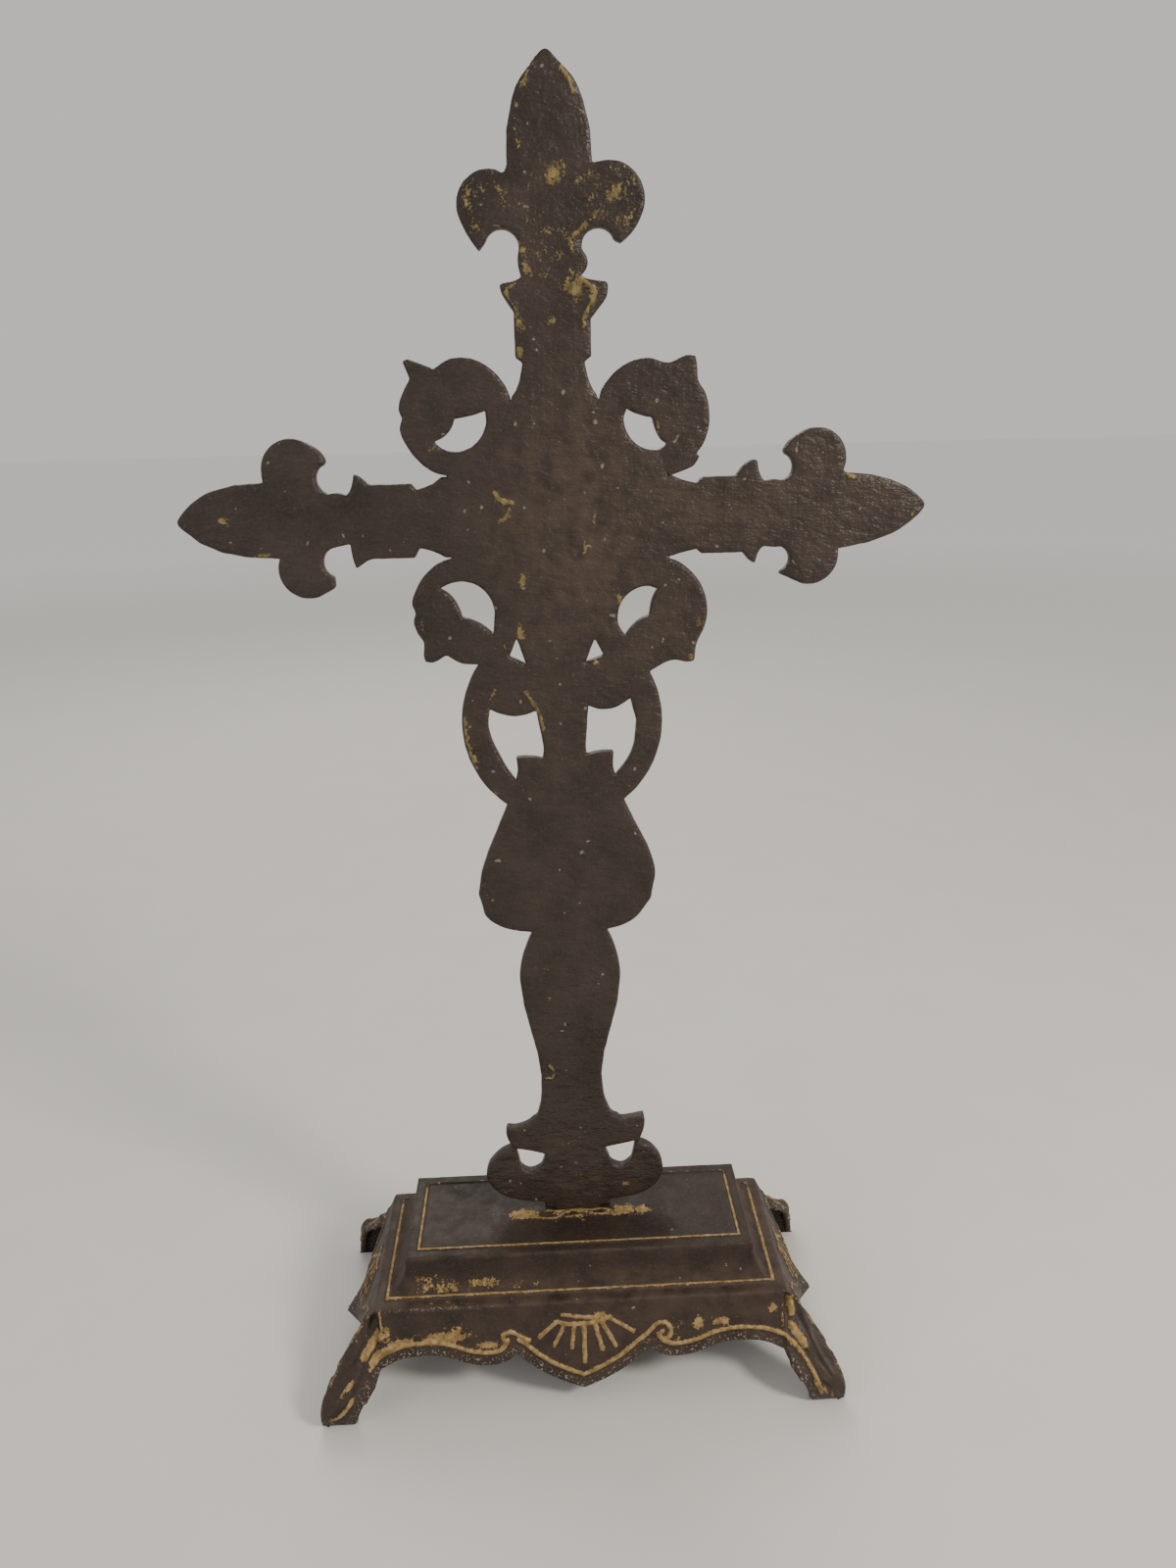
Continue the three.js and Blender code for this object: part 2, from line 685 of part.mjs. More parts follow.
function crossRelief() {
  const scrolls = SCROLLS.map((size) => {
    const { outer, inner, from, to } = SCROLL_BAND;
    const band = arcBand([SCROLL_OUT, size.off], outer, inner, from, to);
    return raised(inCorner(size, band), RELIEF.scroll, 2.2);
  });
  const rim = ellipse(RING, MARGIN.ring);
  rim.holes.push(new THREE.Path(ellipse(RING, MARGIN.ringBand).getPoints()));
  const volutes = [-1, 1].map((side) => {
    const { at, outer, inner, from, to } = FOOT_VOLUTE;
    const band = arcBand(at, outer, inner, from, to);
    return raised(corners(band.map(([x, z]) => [side * x, z])), RELIEF.ring, 1.8);
  });
  return [
    ...finialRelief(TOP_FINIAL, 0),
    ...finialRelief(ARM_FINIAL, 90),
    ...finialRelief(ARM_FINIAL, -90),
    ...rosette(),
    ...scrolls,
    raised(rim, RELIEF.ring, 2),
    ridge(box(...RING_BAR), RELIEF.shaft, 2),
    ridge(pear(MARGIN.pear), RELIEF.body, 6),
    ridge(baluster(MARGIN.baluster), RELIEF.body, 5),
    ...volutes,
  ];
}

function buildCross() {
  const shoulder = BASE_TOP.height + BOSS.height + JOINT_GAP;
  const forms = [
    finial(TOP_LEFT, TOP_RIGHT, 0),
    finial(LEFT_LOWER, LEFT_UPPER, 90),
    finial(RIGHT_UPPER, RIGHT_LOWER, -90),
    ...CROSSING.map((sides) => box(...sides)),
    ...WEBS.map(corners),
    ...SCROLLS.map(scroll),
    ellipse(RING),
    pear(),
    baluster(),
    foot(shoulder),
  ];
  const holes = [
    ...CRESCENTS.map(crescent),
    ...GUSSET_HOLES.map(corners),
    ...RING_HOLES.map(ringHole),
    ...EYE_HOLES.map(eyeHole),
  ];
  const whole = joined([...forms.map(plate), ...crossRelief()]);
  return whole.subtract(joined(holes.map(through)));
}

// Half profile of the base from the top down to the ledge, grown or drawn in
function upperProfile(key, grown) {
  const top = BASE_TOP.height + grown;
  const cove = COVE_FOOT.height + grown;
  const coveTop = BASE_TOP[key] + grown;
  const coveFoot = COVE_FOOT[key] + grown;
  const path = new THREE.Path();
  path.moveTo(0, top);
  path.lineTo(coveTop, top);
  path.lineTo(coveTop, top - BASE_TOP.edge);
  path.quadraticCurveTo(coveTop + 1.2, cove + 4, coveFoot - COVE_FOOT.line, cove);
  if (grown >= 0) {
    path.quadraticCurveTo(coveFoot - COVE_FOOT.line / 2, cove + COVE_FOOT.line, coveFoot, cove - 0.4);
  }
  path.lineTo(LEDGE[key] + grown, LEDGE.height + grown);
  return path;
}

function closedProfile(path) {
  path.lineTo(0, 0);
  return mirrored(path.getPoints(CURVE_STEPS));
}

function endApronProfile(grown) {
  const path = upperProfile('width', grown);
  const [waist, lip] = [END_WAIST, END_LIP];
  path.quadraticCurveTo(waist.bend[0] + grown, waist.bend[1], waist.half + grown, waist.height);
  path.quadraticCurveTo(lip.bend[0] + grown, lip.bend[1], lip.half + grown, lip.height);
  path.lineTo(FEET.width + grown, 0);
  return closedProfile(path);
}

function frontApronProfile(grown) {
  const path = upperProfile('depth', grown);
  path.lineTo(APRON_FOOT + grown, 0);
  return closedProfile(path);
}

function legWidthProfile(grown) {
  const path = upperProfile('width', grown);
  const { upper, lower, half, height } = LEG_OUT;
  path.bezierCurveTo(upper[0] + grown, upper[1], lower[0] + grown, lower[1], half + grown, height);
  path.lineTo(TOE.width + grown, TOE.low);
  path.lineTo(FEET.width + grown, 0);
  return closedProfile(path);
}

function legDepthProfile(grown) {
  const path = upperProfile('depth', grown);
  const { upper, lower } = LEG_SWEEP;
  path.lineTo(LEG_HOLLOW.depth + grown, LEG_HOLLOW.height);
  path.bezierCurveTo(upper[0] + grown, upper[1], lower[0] + grown, lower[1], TOE.depth + grown, TOE.height);
  path.lineTo(TOE.depth + grown, TOE.low);
  path.lineTo(FEET.depth + grown, 0);
  return closedProfile(path);
}

// A block in each of the four corners, from a half width and a half depth outwards
function fourCorners(width, depth, low, high) {
  const corner = flat(box(width, SAFE, depth, SAFE), low, high);
  const right = corner.add(corner.mirror([0, 1, 0]));
  return right.add(right.mirror([1, 0, 0]));
}

function legRoom(grown) {
  return fourCorners(LEG_FROM.width - grown, LEG_FROM.depth - grown, -SAFE, SAFE);
}

// The profiles run past each other and meet in mitred corners
function mitredAprons(grown) {
  return upright(endApronProfile(grown), -SAFE, SAFE).intersect(along(frontApronProfile(grown), SAFE));
}

function mitredLegs(grown) {
  return upright(legWidthProfile(grown), -SAFE, SAFE).intersect(along(legDepthProfile(grown), SAFE));
}

function mitred(grown = 0) {
  const aprons = mitredAprons(grown).subtract(legRoom(0));
  return aprons.add(mitredLegs(grown).intersect(legRoom(JOINT_GAP)));
}

// Room under the base, a wall's thickness inside both the aprons and the legs
function underside() {
  const aprons = mitredAprons(-WALL);
  const legs = mitredLegs(-WALL);
  return joined([
    aprons.subtract(legRoom(WALL)),
    aprons.intersect(legs),
    legs.intersect(legRoom(-WALL)),
  ]);
}

// Lower edge of the front apron from the pendant's tip out to the foot
function frontEdge() {
  const { tip, cusp, cuspTop, bulge, bulgeLow } = FRONT_APRON;
  const { arch, archTop, archOut, footCurve, footIn } = FRONT_APRON;
  const path = new THREE.Path();
  const shoulder = (tip + cuspTop) / 2;
  const middle = (bulge + arch) / 2;
  path.moveTo(0, tip);
  path.quadraticCurveTo(cusp * 0.42, shoulder - 4.6, cusp * 0.72, shoulder + 1.6);
  path.quadraticCurveTo(cusp * 0.9, cuspTop - 3, cusp, cuspTop);
  path.quadraticCurveTo(cusp + 3.4, bulgeLow - 0.8, bulge, bulgeLow);
  path.quadraticCurveTo((bulge + middle) / 2, bulgeLow + 0.6, middle, (bulgeLow + archTop) / 2 + 1);
  path.quadraticCurveTo((arch + middle) / 2, archTop + 0.6, arch, archTop);
  path.bezierCurveTo(...archOut, ...footCurve, footIn, -1);
  return path.getPoints(CURVE_STEPS);
}

// Lower edge of an end apron: the pendant rises straight into the two arches
function endEdge() {
  const { tip, flank, shoulder, arch, archTop, archOut, footCurve, footIn } = END_APRON;
  const path = new THREE.Path();
  path.moveTo(0, tip);
  path.quadraticCurveTo(flank[0] * 0.6, flank[1] - 5.4, ...flank);
  path.quadraticCurveTo(shoulder[0] - 3, shoulder[1] - 5, ...shoulder);
  path.quadraticCurveTo(shoulder[0] + 1.6, archTop, arch, archTop);
  path.bezierCurveTo(...archOut, ...footCurve, footIn, -1);
  return path.getPoints(CURVE_STEPS);
}

function below(edge) {
  const footIn = edge.at(-1).x;
  return mirrored([...edge, new THREE.Vector2(footIn, -SAFE), new THREE.Vector2(0, -SAFE)]);
}

// A raised stroke between two points, narrower at its far end
function stroke([x0, z0], [x1, z1], width) {
  const across = new THREE.Vector2(z0 - z1, x1 - x0).normalize().multiplyScalar(width / 2);
  return corners([
    [x0 + across.x, z0 + across.y],
    [x0 - across.x, z0 - across.y],
    [x1 - across.x * 0.6, z1 - across.y * 0.6],
    [x1 + across.x * 0.6, z1 + across.y * 0.6],
  ]);
}

function shellRibs({ ribs, root, rootHalf, spread, length, width, taper }) {
  return Array.from({ length: ribs }, (_, i) => {
    const turn = (2 * i) / (ribs - 1) - 1;
    const reach = length * (1 - taper * Math.abs(turn));
    const start = [turn * rootHalf, root - 2.5];
    const angle = rad(turn * spread);
    return stroke(start, [start[0] + reach * Math.sin(angle), start[1] - reach * Math.cos(angle)], width);
  });
}

// Raised line that follows an apron's lower edge out to the leg
function apronLine(edge) {
  const tip = edge[0].y;
  const last = edge.findIndex((point, i) => i > 1 && point.y < tip);
  const lower = edge.slice(0, last);
  const low = lower.map((point) => [point.x, point.y + APRON_LINE.rise - APRON_LINE.width / 2]);
  const high = lower.map((point) => [point.x, point.y + APRON_LINE.rise + APRON_LINE.width / 2]);
  return [-1, 1].map((side) => corners([...low, ...high.toReversed()].map(([x, z]) => [side * x, z])));
}

function volutes() {
  const { at, height, radius, from, to } = VOLUTE;
  const band = arcBand([at, height], radius, radius - VOLUTE.stroke, from, to);
  return [-1, 1].map((side) => corners(band.map(([x, z]) => [side * x, z])));
}

function legLeaves() {
  return [-1, 1].flatMap((side) => LEG_LEAF.map(([[x0, z0], [x1, z1]]) => (
    stroke([side * x0, z0], [side * x1, z1], LEAF_STROKE)
  )));
}

function baseRelief() {
  const front = [
    ...apronLine(frontEdge()),
    ...volutes(),
    ...shellRibs(FRONT_SHELL),
    ...legLeaves(),
  ];
  const ends = [...apronLine(endEdge()), ...shellRibs(END_SHELL)];
  const prisms = joined([...front.map(through), ...ends.map((shape) => along(shape, SAFE))]);
  return mitred(APRON_RELIEF).intersect(prisms);
}

function rectangle(halfWidth, halfDepth) {
  return box(-halfWidth, halfWidth, -halfDepth, halfDepth);
}

// Thin raised line on the base's top
function topLine() {
  const { width, depth, line, height } = TOP_LINE;
  const frame = rectangle(width, depth);
  frame.holes.push(new THREE.Path(rectangle(width - line, depth - line).getPoints()));
  return flat(frame, BASE_TOP.height - 1, BASE_TOP.height + height);
}

// Lens-shaped seat under the cross
function boss() {
  const lens = new THREE.Path();
  lens.moveTo(-BOSS.half, 0);
  lens.quadraticCurveTo(0, -2 * BOSS.depth, BOSS.half, 0);
  lens.quadraticCurveTo(0, 2 * BOSS.depth, -BOSS.half, 0);
  return flat(outline(lens.getPoints(CURVE_STEPS)), BASE_TOP.height - 1, BASE_TOP.height + BOSS.height);
}

function buildBase() {
  const slotHalf = TENON_HALF + JOINT_GAP;
  const slot = box(-slotHalf, slotHalf, PLATE_BACK - JOINT_GAP, PLATE_FACE + JOINT_GAP);
  const shell = joined([mitred(), baseRelief()])
    .subtract(underside())
    .subtract(through(below(frontEdge())))
    .subtract(along(below(endEdge()), SAFE));
  const whole = joined([shell, topLine(), boss()]);
  return whole
    .subtract(flat(slot, 0, SAFE))
    .intersect(flat(rectangle(SAFE, SAFE), 0, SAFE));
}

const IRON = { color: 0x2e2620, roughness: 0.5, metalness: 0.55 };

function casting(name, solid) {
  const spare = solid.simplify(FLATNESS);
  const mesh = new THREE.Mesh(geometryOf(spare), new THREE.MeshStandardMaterial(IRON));
  mesh.name = name;
  return mesh;
}

const tableCross = new THREE.Group();
tableCross.add(casting('cross', buildCross()));
tableCross.add(casting('base', buildBase()));

export default tableCross;
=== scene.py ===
"""Table cross: two castings of black iron with worn gilding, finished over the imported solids.

Shapes are drawn in millimetres in the row frame and turned into metres when a mesh is made.
"""

import math

import bpy
import numpy as np
from mathutils import Matrix, Vector, kdtree, noise
from mathutils.bvhtree import BVHTree
from mathutils.geometry import delaunay_2d_cdt


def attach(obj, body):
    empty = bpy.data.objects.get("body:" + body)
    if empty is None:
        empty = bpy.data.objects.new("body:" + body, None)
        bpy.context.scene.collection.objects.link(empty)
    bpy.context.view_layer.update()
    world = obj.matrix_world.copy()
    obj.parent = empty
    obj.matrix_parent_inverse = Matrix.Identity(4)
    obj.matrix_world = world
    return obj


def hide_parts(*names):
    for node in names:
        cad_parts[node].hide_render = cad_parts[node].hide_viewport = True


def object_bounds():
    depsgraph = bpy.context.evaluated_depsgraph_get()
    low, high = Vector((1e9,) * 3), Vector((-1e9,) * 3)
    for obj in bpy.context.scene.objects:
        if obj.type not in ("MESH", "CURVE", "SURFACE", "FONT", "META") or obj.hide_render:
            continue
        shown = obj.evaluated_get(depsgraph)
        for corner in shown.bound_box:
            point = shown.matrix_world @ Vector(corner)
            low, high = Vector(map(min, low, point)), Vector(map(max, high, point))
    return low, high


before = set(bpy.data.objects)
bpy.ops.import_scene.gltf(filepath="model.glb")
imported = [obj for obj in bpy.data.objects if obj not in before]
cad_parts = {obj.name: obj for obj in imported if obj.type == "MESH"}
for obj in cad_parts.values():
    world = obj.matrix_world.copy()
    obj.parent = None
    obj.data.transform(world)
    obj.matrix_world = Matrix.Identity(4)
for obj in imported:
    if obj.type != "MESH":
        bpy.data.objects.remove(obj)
CAD_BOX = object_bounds()

MM = 0.001

# Camera: place in millimetres, turns in degrees, lens for a 36 mm sensor on the long side
CAMERA_AT = (-6.94, -445.09, 430.95)
CAMERA_PITCH = 17.968
CAMERA_ROLL = -1.266
CAMERA_YAW = -2.135
SENSOR = 36.0
LENS = 24.95

# Plate of the cross: level of the cut that gives its outline, its two faces and its rounded edges
CUT_LEVEL = 1.5
PLATE_BACK = -1.2
PLATE_FACE = 4.3
EDGE_ROUND = 1.2
# Turns in degrees at which an outline keeps a corner; the two eye holes low on the foot are rounder
CORNER_TURN = 38.0
EYE_TURN = 76.0
EYE_TOP = 110.0
STRAIGHT_TURN = 0.4
CROWDED = 0.05
LONG_SIDE = 9.0
END_PIECE = 3.0
CURVE_STEP = 0.5
OUTLINE_STEP = 1.0
# Size and depth in millimetres of the two waves that the sand mould left in the outline
OUTLINE_WAVES = ((7.0, 0.22), (2.6, 0.08))
# Spacing of the points on the two faces and along their edges
BACK_PITCH = 1.5
FACE_PITCH = 1.25
EDGE_ROWS = (0.35, 1.2)
WALL_LEVELS = 3

# Base: half widths, half depths and heights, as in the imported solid
TOP = (81.4, 29.3, 67.0)
COVE_TOP_DROP = 2.4
COVE_FOOT = (91.4, 35.6, 49.6)
LEDGE = (95.8, 40.8, 48.5)
FEET = (121.0, 57.6)
APRON_FOOT = 55.3
WALL = 3.6
LEG_FROM = (94.0, 35.0)
STEP_WIDTH = 0.8
TOP_LINE_INSET = 4.9
TOP_LINE_WIDTH = 1.6
TOP_LINE_RISE = 0.65
TOP_EDGE_ROUND = 1.2
BEAD_ROUND = 1.2
BEAD_WIDTH = 2.0
BEAD_SUNK = 0.4
# Points along a front and an end, and the spacing of the points on them and on hidden skins
SIDE_COUNT = {"front": 172, "end": 74}
PANEL_PITCH = {"front": 0.75, "end": 0.9}
HIDDEN_PITCH = 3.0
HIDDEN_MARGIN = 1.4
# Smallest length that a division uses
TINY = 1e-12


def linked_object(name, data):
    thing = bpy.data.objects.new(name, data)
    bpy.context.scene.collection.objects.link(thing)
    return thing


def mesh_piece(name, points, faces, values, material):
    """A mesh object from millimetre points, triangles or quads, and named values at its points."""
    mesh = bpy.data.meshes.new(name)
    mesh.from_pydata((np.asarray(points) * MM).tolist(), [], [list(f) for f in faces])
    for key, numbers in values.items():
        layer = mesh.attributes.new(key, "FLOAT", "POINT")
        layer.data.foreach_set("value", np.asarray(numbers, np.float32))
    mesh.shade_smooth()
    mesh.materials.append(material)
    piece = linked_object(name, mesh)
    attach(piece, "root")
    return piece


def smoothstep(low, high, value):
    t = np.clip((value - low) / (high - low), 0, 1)
    return t * t * (3 - 2 * t)


def waves(points, size, seed):
    """Smooth noise between about -1 and 1 at 2-D or 3-D points, with lumps of the given size."""
    shift = Vector((seed * 17.3, seed * 5.1, seed * 9.7))
    return np.array([noise.noise(Vector(p).to_3d() / size + shift) for p in points])


def quad_points(a, b, c, steps):
    t = np.linspace(0, 1, steps + 1)[1:, None]
    a, b, c = (np.array(p, float) for p in (a, b, c))
    return (1 - t) ** 2 * a + 2 * t * (1 - t) * b + t * t * c


def cubic_points(a, b, c, d, steps):
    t = np.linspace(0, 1, steps + 1)[1:, None]
    a, b, c, d = (np.array(p, float) for p in (a, b, c, d))
    return (1 - t) ** 3 * a + 3 * t * (1 - t) ** 2 * b + 3 * t * t * (1 - t) * c + t ** 3 * d


def bent_line(start, *pieces):
    """Points along straight and curved pieces, each given as its bends, its end and its steps."""
    line = [np.array([start], float)]
    for *bends, end, steps in pieces:
        here = line[-1][-1]
        if len(bends) == 2:
            line.append(cubic_points(here, *bends, end, steps))
        elif bends:
            line.append(quad_points(here, *bends, end, steps))
        else:
            line.append(np.array([end], float))
    return np.vstack(line)


def spaced(path, step, closed=False):
    """Points along a path, evenly spaced by about one step, that keep its first and last point."""
    path = np.asarray(path, float)
    if closed:
        path = np.vstack([path, path[:1]])
    run = np.concatenate([[0], np.cumsum(np.linalg.norm(np.diff(path, axis=0), axis=1))])
    count = max(2, int(round(run[-1] / step)) + 1)
    places = np.linspace(0, run[-1], count)
    even = np.column_stack([np.interp(places, run, path[:, i]) for i in range(path.shape[1])])
    return even[:-1] if closed else even


def side_distance(points, a, b):
    """Distance of 2-D points from straight sides that run from a to b."""
    d = b - a
    t = np.clip(((points - a) * d).sum(-1) / np.maximum((d * d).sum(-1), TINY), 0, 1)
    return np.linalg.norm(points - a - t[..., None] * d, axis=-1)


def path_distance(points, path):
    """Distance of 2-D points from a path of straight pieces."""
    path = np.asarray(path, float)
    return np.minimum.reduce([side_distance(points, a, b) for a, b in zip(path, path[1:])])


def loop_sides(loops):
    """Starts and ends of the sides of closed loops."""
    return np.vstack(loops), np.vstack([np.roll(loop, -1, axis=0) for loop in loops])


def near_distance(points, loops):
    """Distance from closely spaced loops, taken exactly on the two sides beside the nearest point."""
    spots, after = loop_sides(loops)
    before = np.vstack([np.roll(loop, 1, axis=0) for loop in loops])
    tree = kdtree.KDTree(len(spots))
    for i, (x, z) in enumerate(spots):
        tree.insert((x, z, 0), i)
    tree.balance()
    found = np.array([tree.find((x, z, 0))[1] for x, z in points])
    return np.minimum(*(side_distance(points, spots[found], other[found]) for other in (before, after)))


def crossings(starts, ends, z):
    """Where the sides of loops cross one row."""
    hit = (starts[:, 1] < z) != (ends[:, 1] < z)
    a, b = starts[hit], ends[hit]
    return a[:, 0] + (z - a[:, 1]) / (b[:, 1] - a[:, 1]) * (b[:, 0] - a[:, 0])


def grid_inside(loops, pitch):
    """Points of a triangular grid that lie inside closed loops, by counting crossings on each row."""
    starts, ends = loop_sides(loops)
    low, high = starts.min(0), starts.max(0)
    kept = []
    row_step = pitch * math.sqrt(3) / 2
    for row in range(int((high[1] - low[1]) / row_step)):
        z = low[1] + (row + 0.53) * row_step
        xs = np.arange(low[0] + (row % 2) * pitch / 2, high[0], pitch)
        xs = xs[np.searchsorted(np.sort(crossings(starts, ends, z)), xs) % 2 == 1]
        kept.append(np.column_stack([xs, np.full(len(xs), z)]))
    return np.vstack(kept)


def inside(points, loops):
    """Which points lie inside closed loops, by counting the sides to their right."""
    sides = loop_sides(loops)
    return np.array([np.sum(crossings(*sides, z) > x) % 2 == 1 for x, z in points])


def shifted(faces, start):
    return [[start + i for i in f] for f in faces]


def ccw(points, face):
    a, b, c = points[face[0]], points[face[1]], points[face[2]]
    return (b[0] - a[0]) * (c[1] - a[1]) - (b[1] - a[1]) * (c[0] - a[0]) > 0


def faced(points, faces, left=True):
    """Faces turned so that all of them run to the left, or all to the right."""
    return [f if ccw(points, f) == left else f[::-1] for f in faces]


def triangulated(loops, extra):
    """Triangles between closed loops: points, triangles, and the place of each loop point in them."""
    outline = np.vstack(loops)
    edges = []
    start = 0
    for loop in loops:
        n = len(loop)
        edges += [(start + i, start + (i + 1) % n) for i in range(n)]
        start += n
    places = [Vector(p) for p in np.vstack([outline, extra])]
    points, _, faces, origins, _, _ = delaunay_2d_cdt(places, edges, [], 2, 1e-6)
    where = np.full(len(outline), -1)
    for i, sources in enumerate(origins):
        for source in sources:
            if source < len(outline):
                where[source] = i
    points = np.array([list(p) for p in points])
    faces = [list(f) for f in faces]
    on_outline = np.zeros(len(points), bool)
    on_outline[where] = True
    doubtful = [i for i, f in enumerate(faces) if on_outline[f].all()]
    middles = np.array([points[faces[i]].mean(0) for i in doubtful])
    dropped = {i for i, good in zip(doubtful, inside(middles, loops)) if not good}
    return points, [f for i, f in enumerate(faces) if i not in dropped], where


# Outline of the cross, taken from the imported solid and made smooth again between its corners


def solid_of(name):
    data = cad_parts[name].data
    data.calc_loop_triangles()
    points = np.array([v.co for v in data.vertices]) / MM
    return points, [tuple(t.vertices) for t in data.loop_triangles]


def cut_loops(points, faces, level):
    """Closed loops in X and Z where the surface crosses one level of Y."""
    known = {}
    spots = [known.setdefault(tuple(np.round(p, 3)), len(known)) for p in points]
    links = {}
    places = {}
    for face in faces:
        cut = []
        for i, j in zip(face, face[1:] + face[:1]):
            yi, yj = points[i][1], points[j][1]
            if (yi < level) != (yj < level):
                key = tuple(sorted((spots[i], spots[j])))
                places[key] = points[i] + (level - yi) / (yj - yi) * (points[j] - points[i])
                cut.append(key)
        if len(cut) == 2:
            links.setdefault(cut[0], []).append(cut[1])
            links.setdefault(cut[1], []).append(cut[0])
    loops = []
    left = set(links)
    while left:
        here = min(left)
        loop = [here]
        left.discard(here)
        while following := [k for k in links[here] if k in left]:
            here = following[0]
            left.discard(here)
            loop.append(here)
        loops.append(np.array([places[k][[0, 2]] for k in loop]))
    return loops


def turns(loop):
    """Turning angle in degrees at each point of a closed loop."""
    back = loop - np.roll(loop, 1, axis=0)
    ahead = np.roll(loop, -1, axis=0) - loop
    cross = back[:, 0] * ahead[:, 1] - back[:, 1] * ahead[:, 0]
    return np.degrees(np.arctan2(cross, (back * ahead).sum(1)))


def tidy_loop(loop):
    """Drops crowded points and points on straight lines."""
    apart = [loop[0]]
    for point in loop[1:]:
        if np.linalg.norm(point - apart[-1]) > CROWDED:
            apart.append(point)
    loop = np.array(apart)
    if np.linalg.norm(loop[0] - loop[-1]) < CROWDED:
        loop = loop[:-1]
    for _ in range(3):
        loop = loop[np.abs(turns(loop)) > STRAIGHT_TURN]
    return loop


def with_end_pieces(loop):
    """Splits long straight sides near their ends, so that only their ends bend."""
    split = []
    for a, b in zip(loop, np.roll(loop, -1, axis=0)):
        split.append(a)
        length = np.linalg.norm(b - a)
        if length > LONG_SIDE:
            split.append(a + (b - a) * END_PIECE / length)
            split.append(b - (b - a) * END_PIECE / length)
    return np.array(split)


def smooth_loop(loop):
    """Runs a smooth curve through a closed loop's points and keeps its corners."""
    loop = with_end_pieces(tidy_loop(loop))
    limit = EYE_TURN if loop[:, 1].max() < EYE_TOP else CORNER_TURN
    corner = np.abs(turns(loop)) > limit
    before = np.roll(loop, 1, axis=0)
    after = np.roll(loop, -1, axis=0)
    back = np.linalg.norm(loop - before, axis=1)[:, None]
    ahead = np.linalg.norm(after - loop, axis=1)[:, None]
    direction = ((loop - before) / back * ahead + (after - loop) / ahead * back) / (back + ahead)
    curve = []
    for i in range(len(loop)):
        j = (i + 1) % len(loop)
        length = ahead[i, 0]
        chord = (loop[j] - loop[i]) / length
        out = chord if corner[i] else direction[i]
        into = chord if corner[j] else direction[j]
        steps = max(2, int(round(length / CURVE_STEP)))
        t = np.arange(steps)[:, None] / steps
        curve.append(
            (2 * t ** 3 - 3 * t ** 2 + 1) * loop[i] + (t ** 3 - 2 * t ** 2 + t) * length * out
            + (3 * t ** 2 - 2 * t ** 3) * loop[j] + (t ** 3 - t ** 2) * length * into
        )
    return np.vstack(curve)


def loop_area(loop):
    x, z = loop.T
    return 0.5 * float(np.sum(x * np.roll(z, -1) - z * np.roll(x, -1)))


def cast_outline(loops):
    """Evenly spaced loops with the solid on their left, waved a little as the sand mould left them."""
    largest = max(range(len(loops)), key=lambda i: abs(loop_area(loops[i])))
    cast = []
    for i, loop in enumerate(loops):
        even = spaced(smooth_loop(loop), OUTLINE_STEP, closed=True)
        if (loop_area(even) > 0) != (i == largest):
            even = even[::-1]
        wave = sum(waves(even, size, seed) * depth for seed, (size, depth) in enumerate(OUTLINE_WAVES, 3))
        cast.append(even + inward(even) * np.abs(wave)[:, None])
    return cast


def inward(loop):
    run = np.roll(loop, -1, axis=0) - np.roll(loop, 1, axis=0)
    run /= np.maximum(np.linalg.norm(run, axis=1), TINY)[:, None]
    return np.column_stack([-run[:, 1], run[:, 0]])


def edge_fall(distance):
    """How far a face has fallen at a distance from its rounded edge."""
    left = EDGE_ROUND - np.clip(distance, 0, EDGE_ROUND)
    return EDGE_ROUND - np.sqrt(np.maximum(EDGE_ROUND ** 2 - left ** 2, 0))


def face_points(loops, pitch):
    """Triangles over the plate: rows of points along the outline, and a grid inside them."""
    rows = []
    for depth in EDGE_ROWS:
        row = np.vstack([loop + inward(loop) * depth for loop in loops])
        rows.append(row[near_distance(row, loops) > depth - 0.05])
    grid = grid_inside(loops, pitch)
    grid = grid[near_distance(grid, loops) > EDGE_ROWS[-1] + 0.45 * pitch]
    points, faces, where = triangulated(loops, np.vstack([*rows, grid]))
    return points, faces, where, near_distance(points, loops)


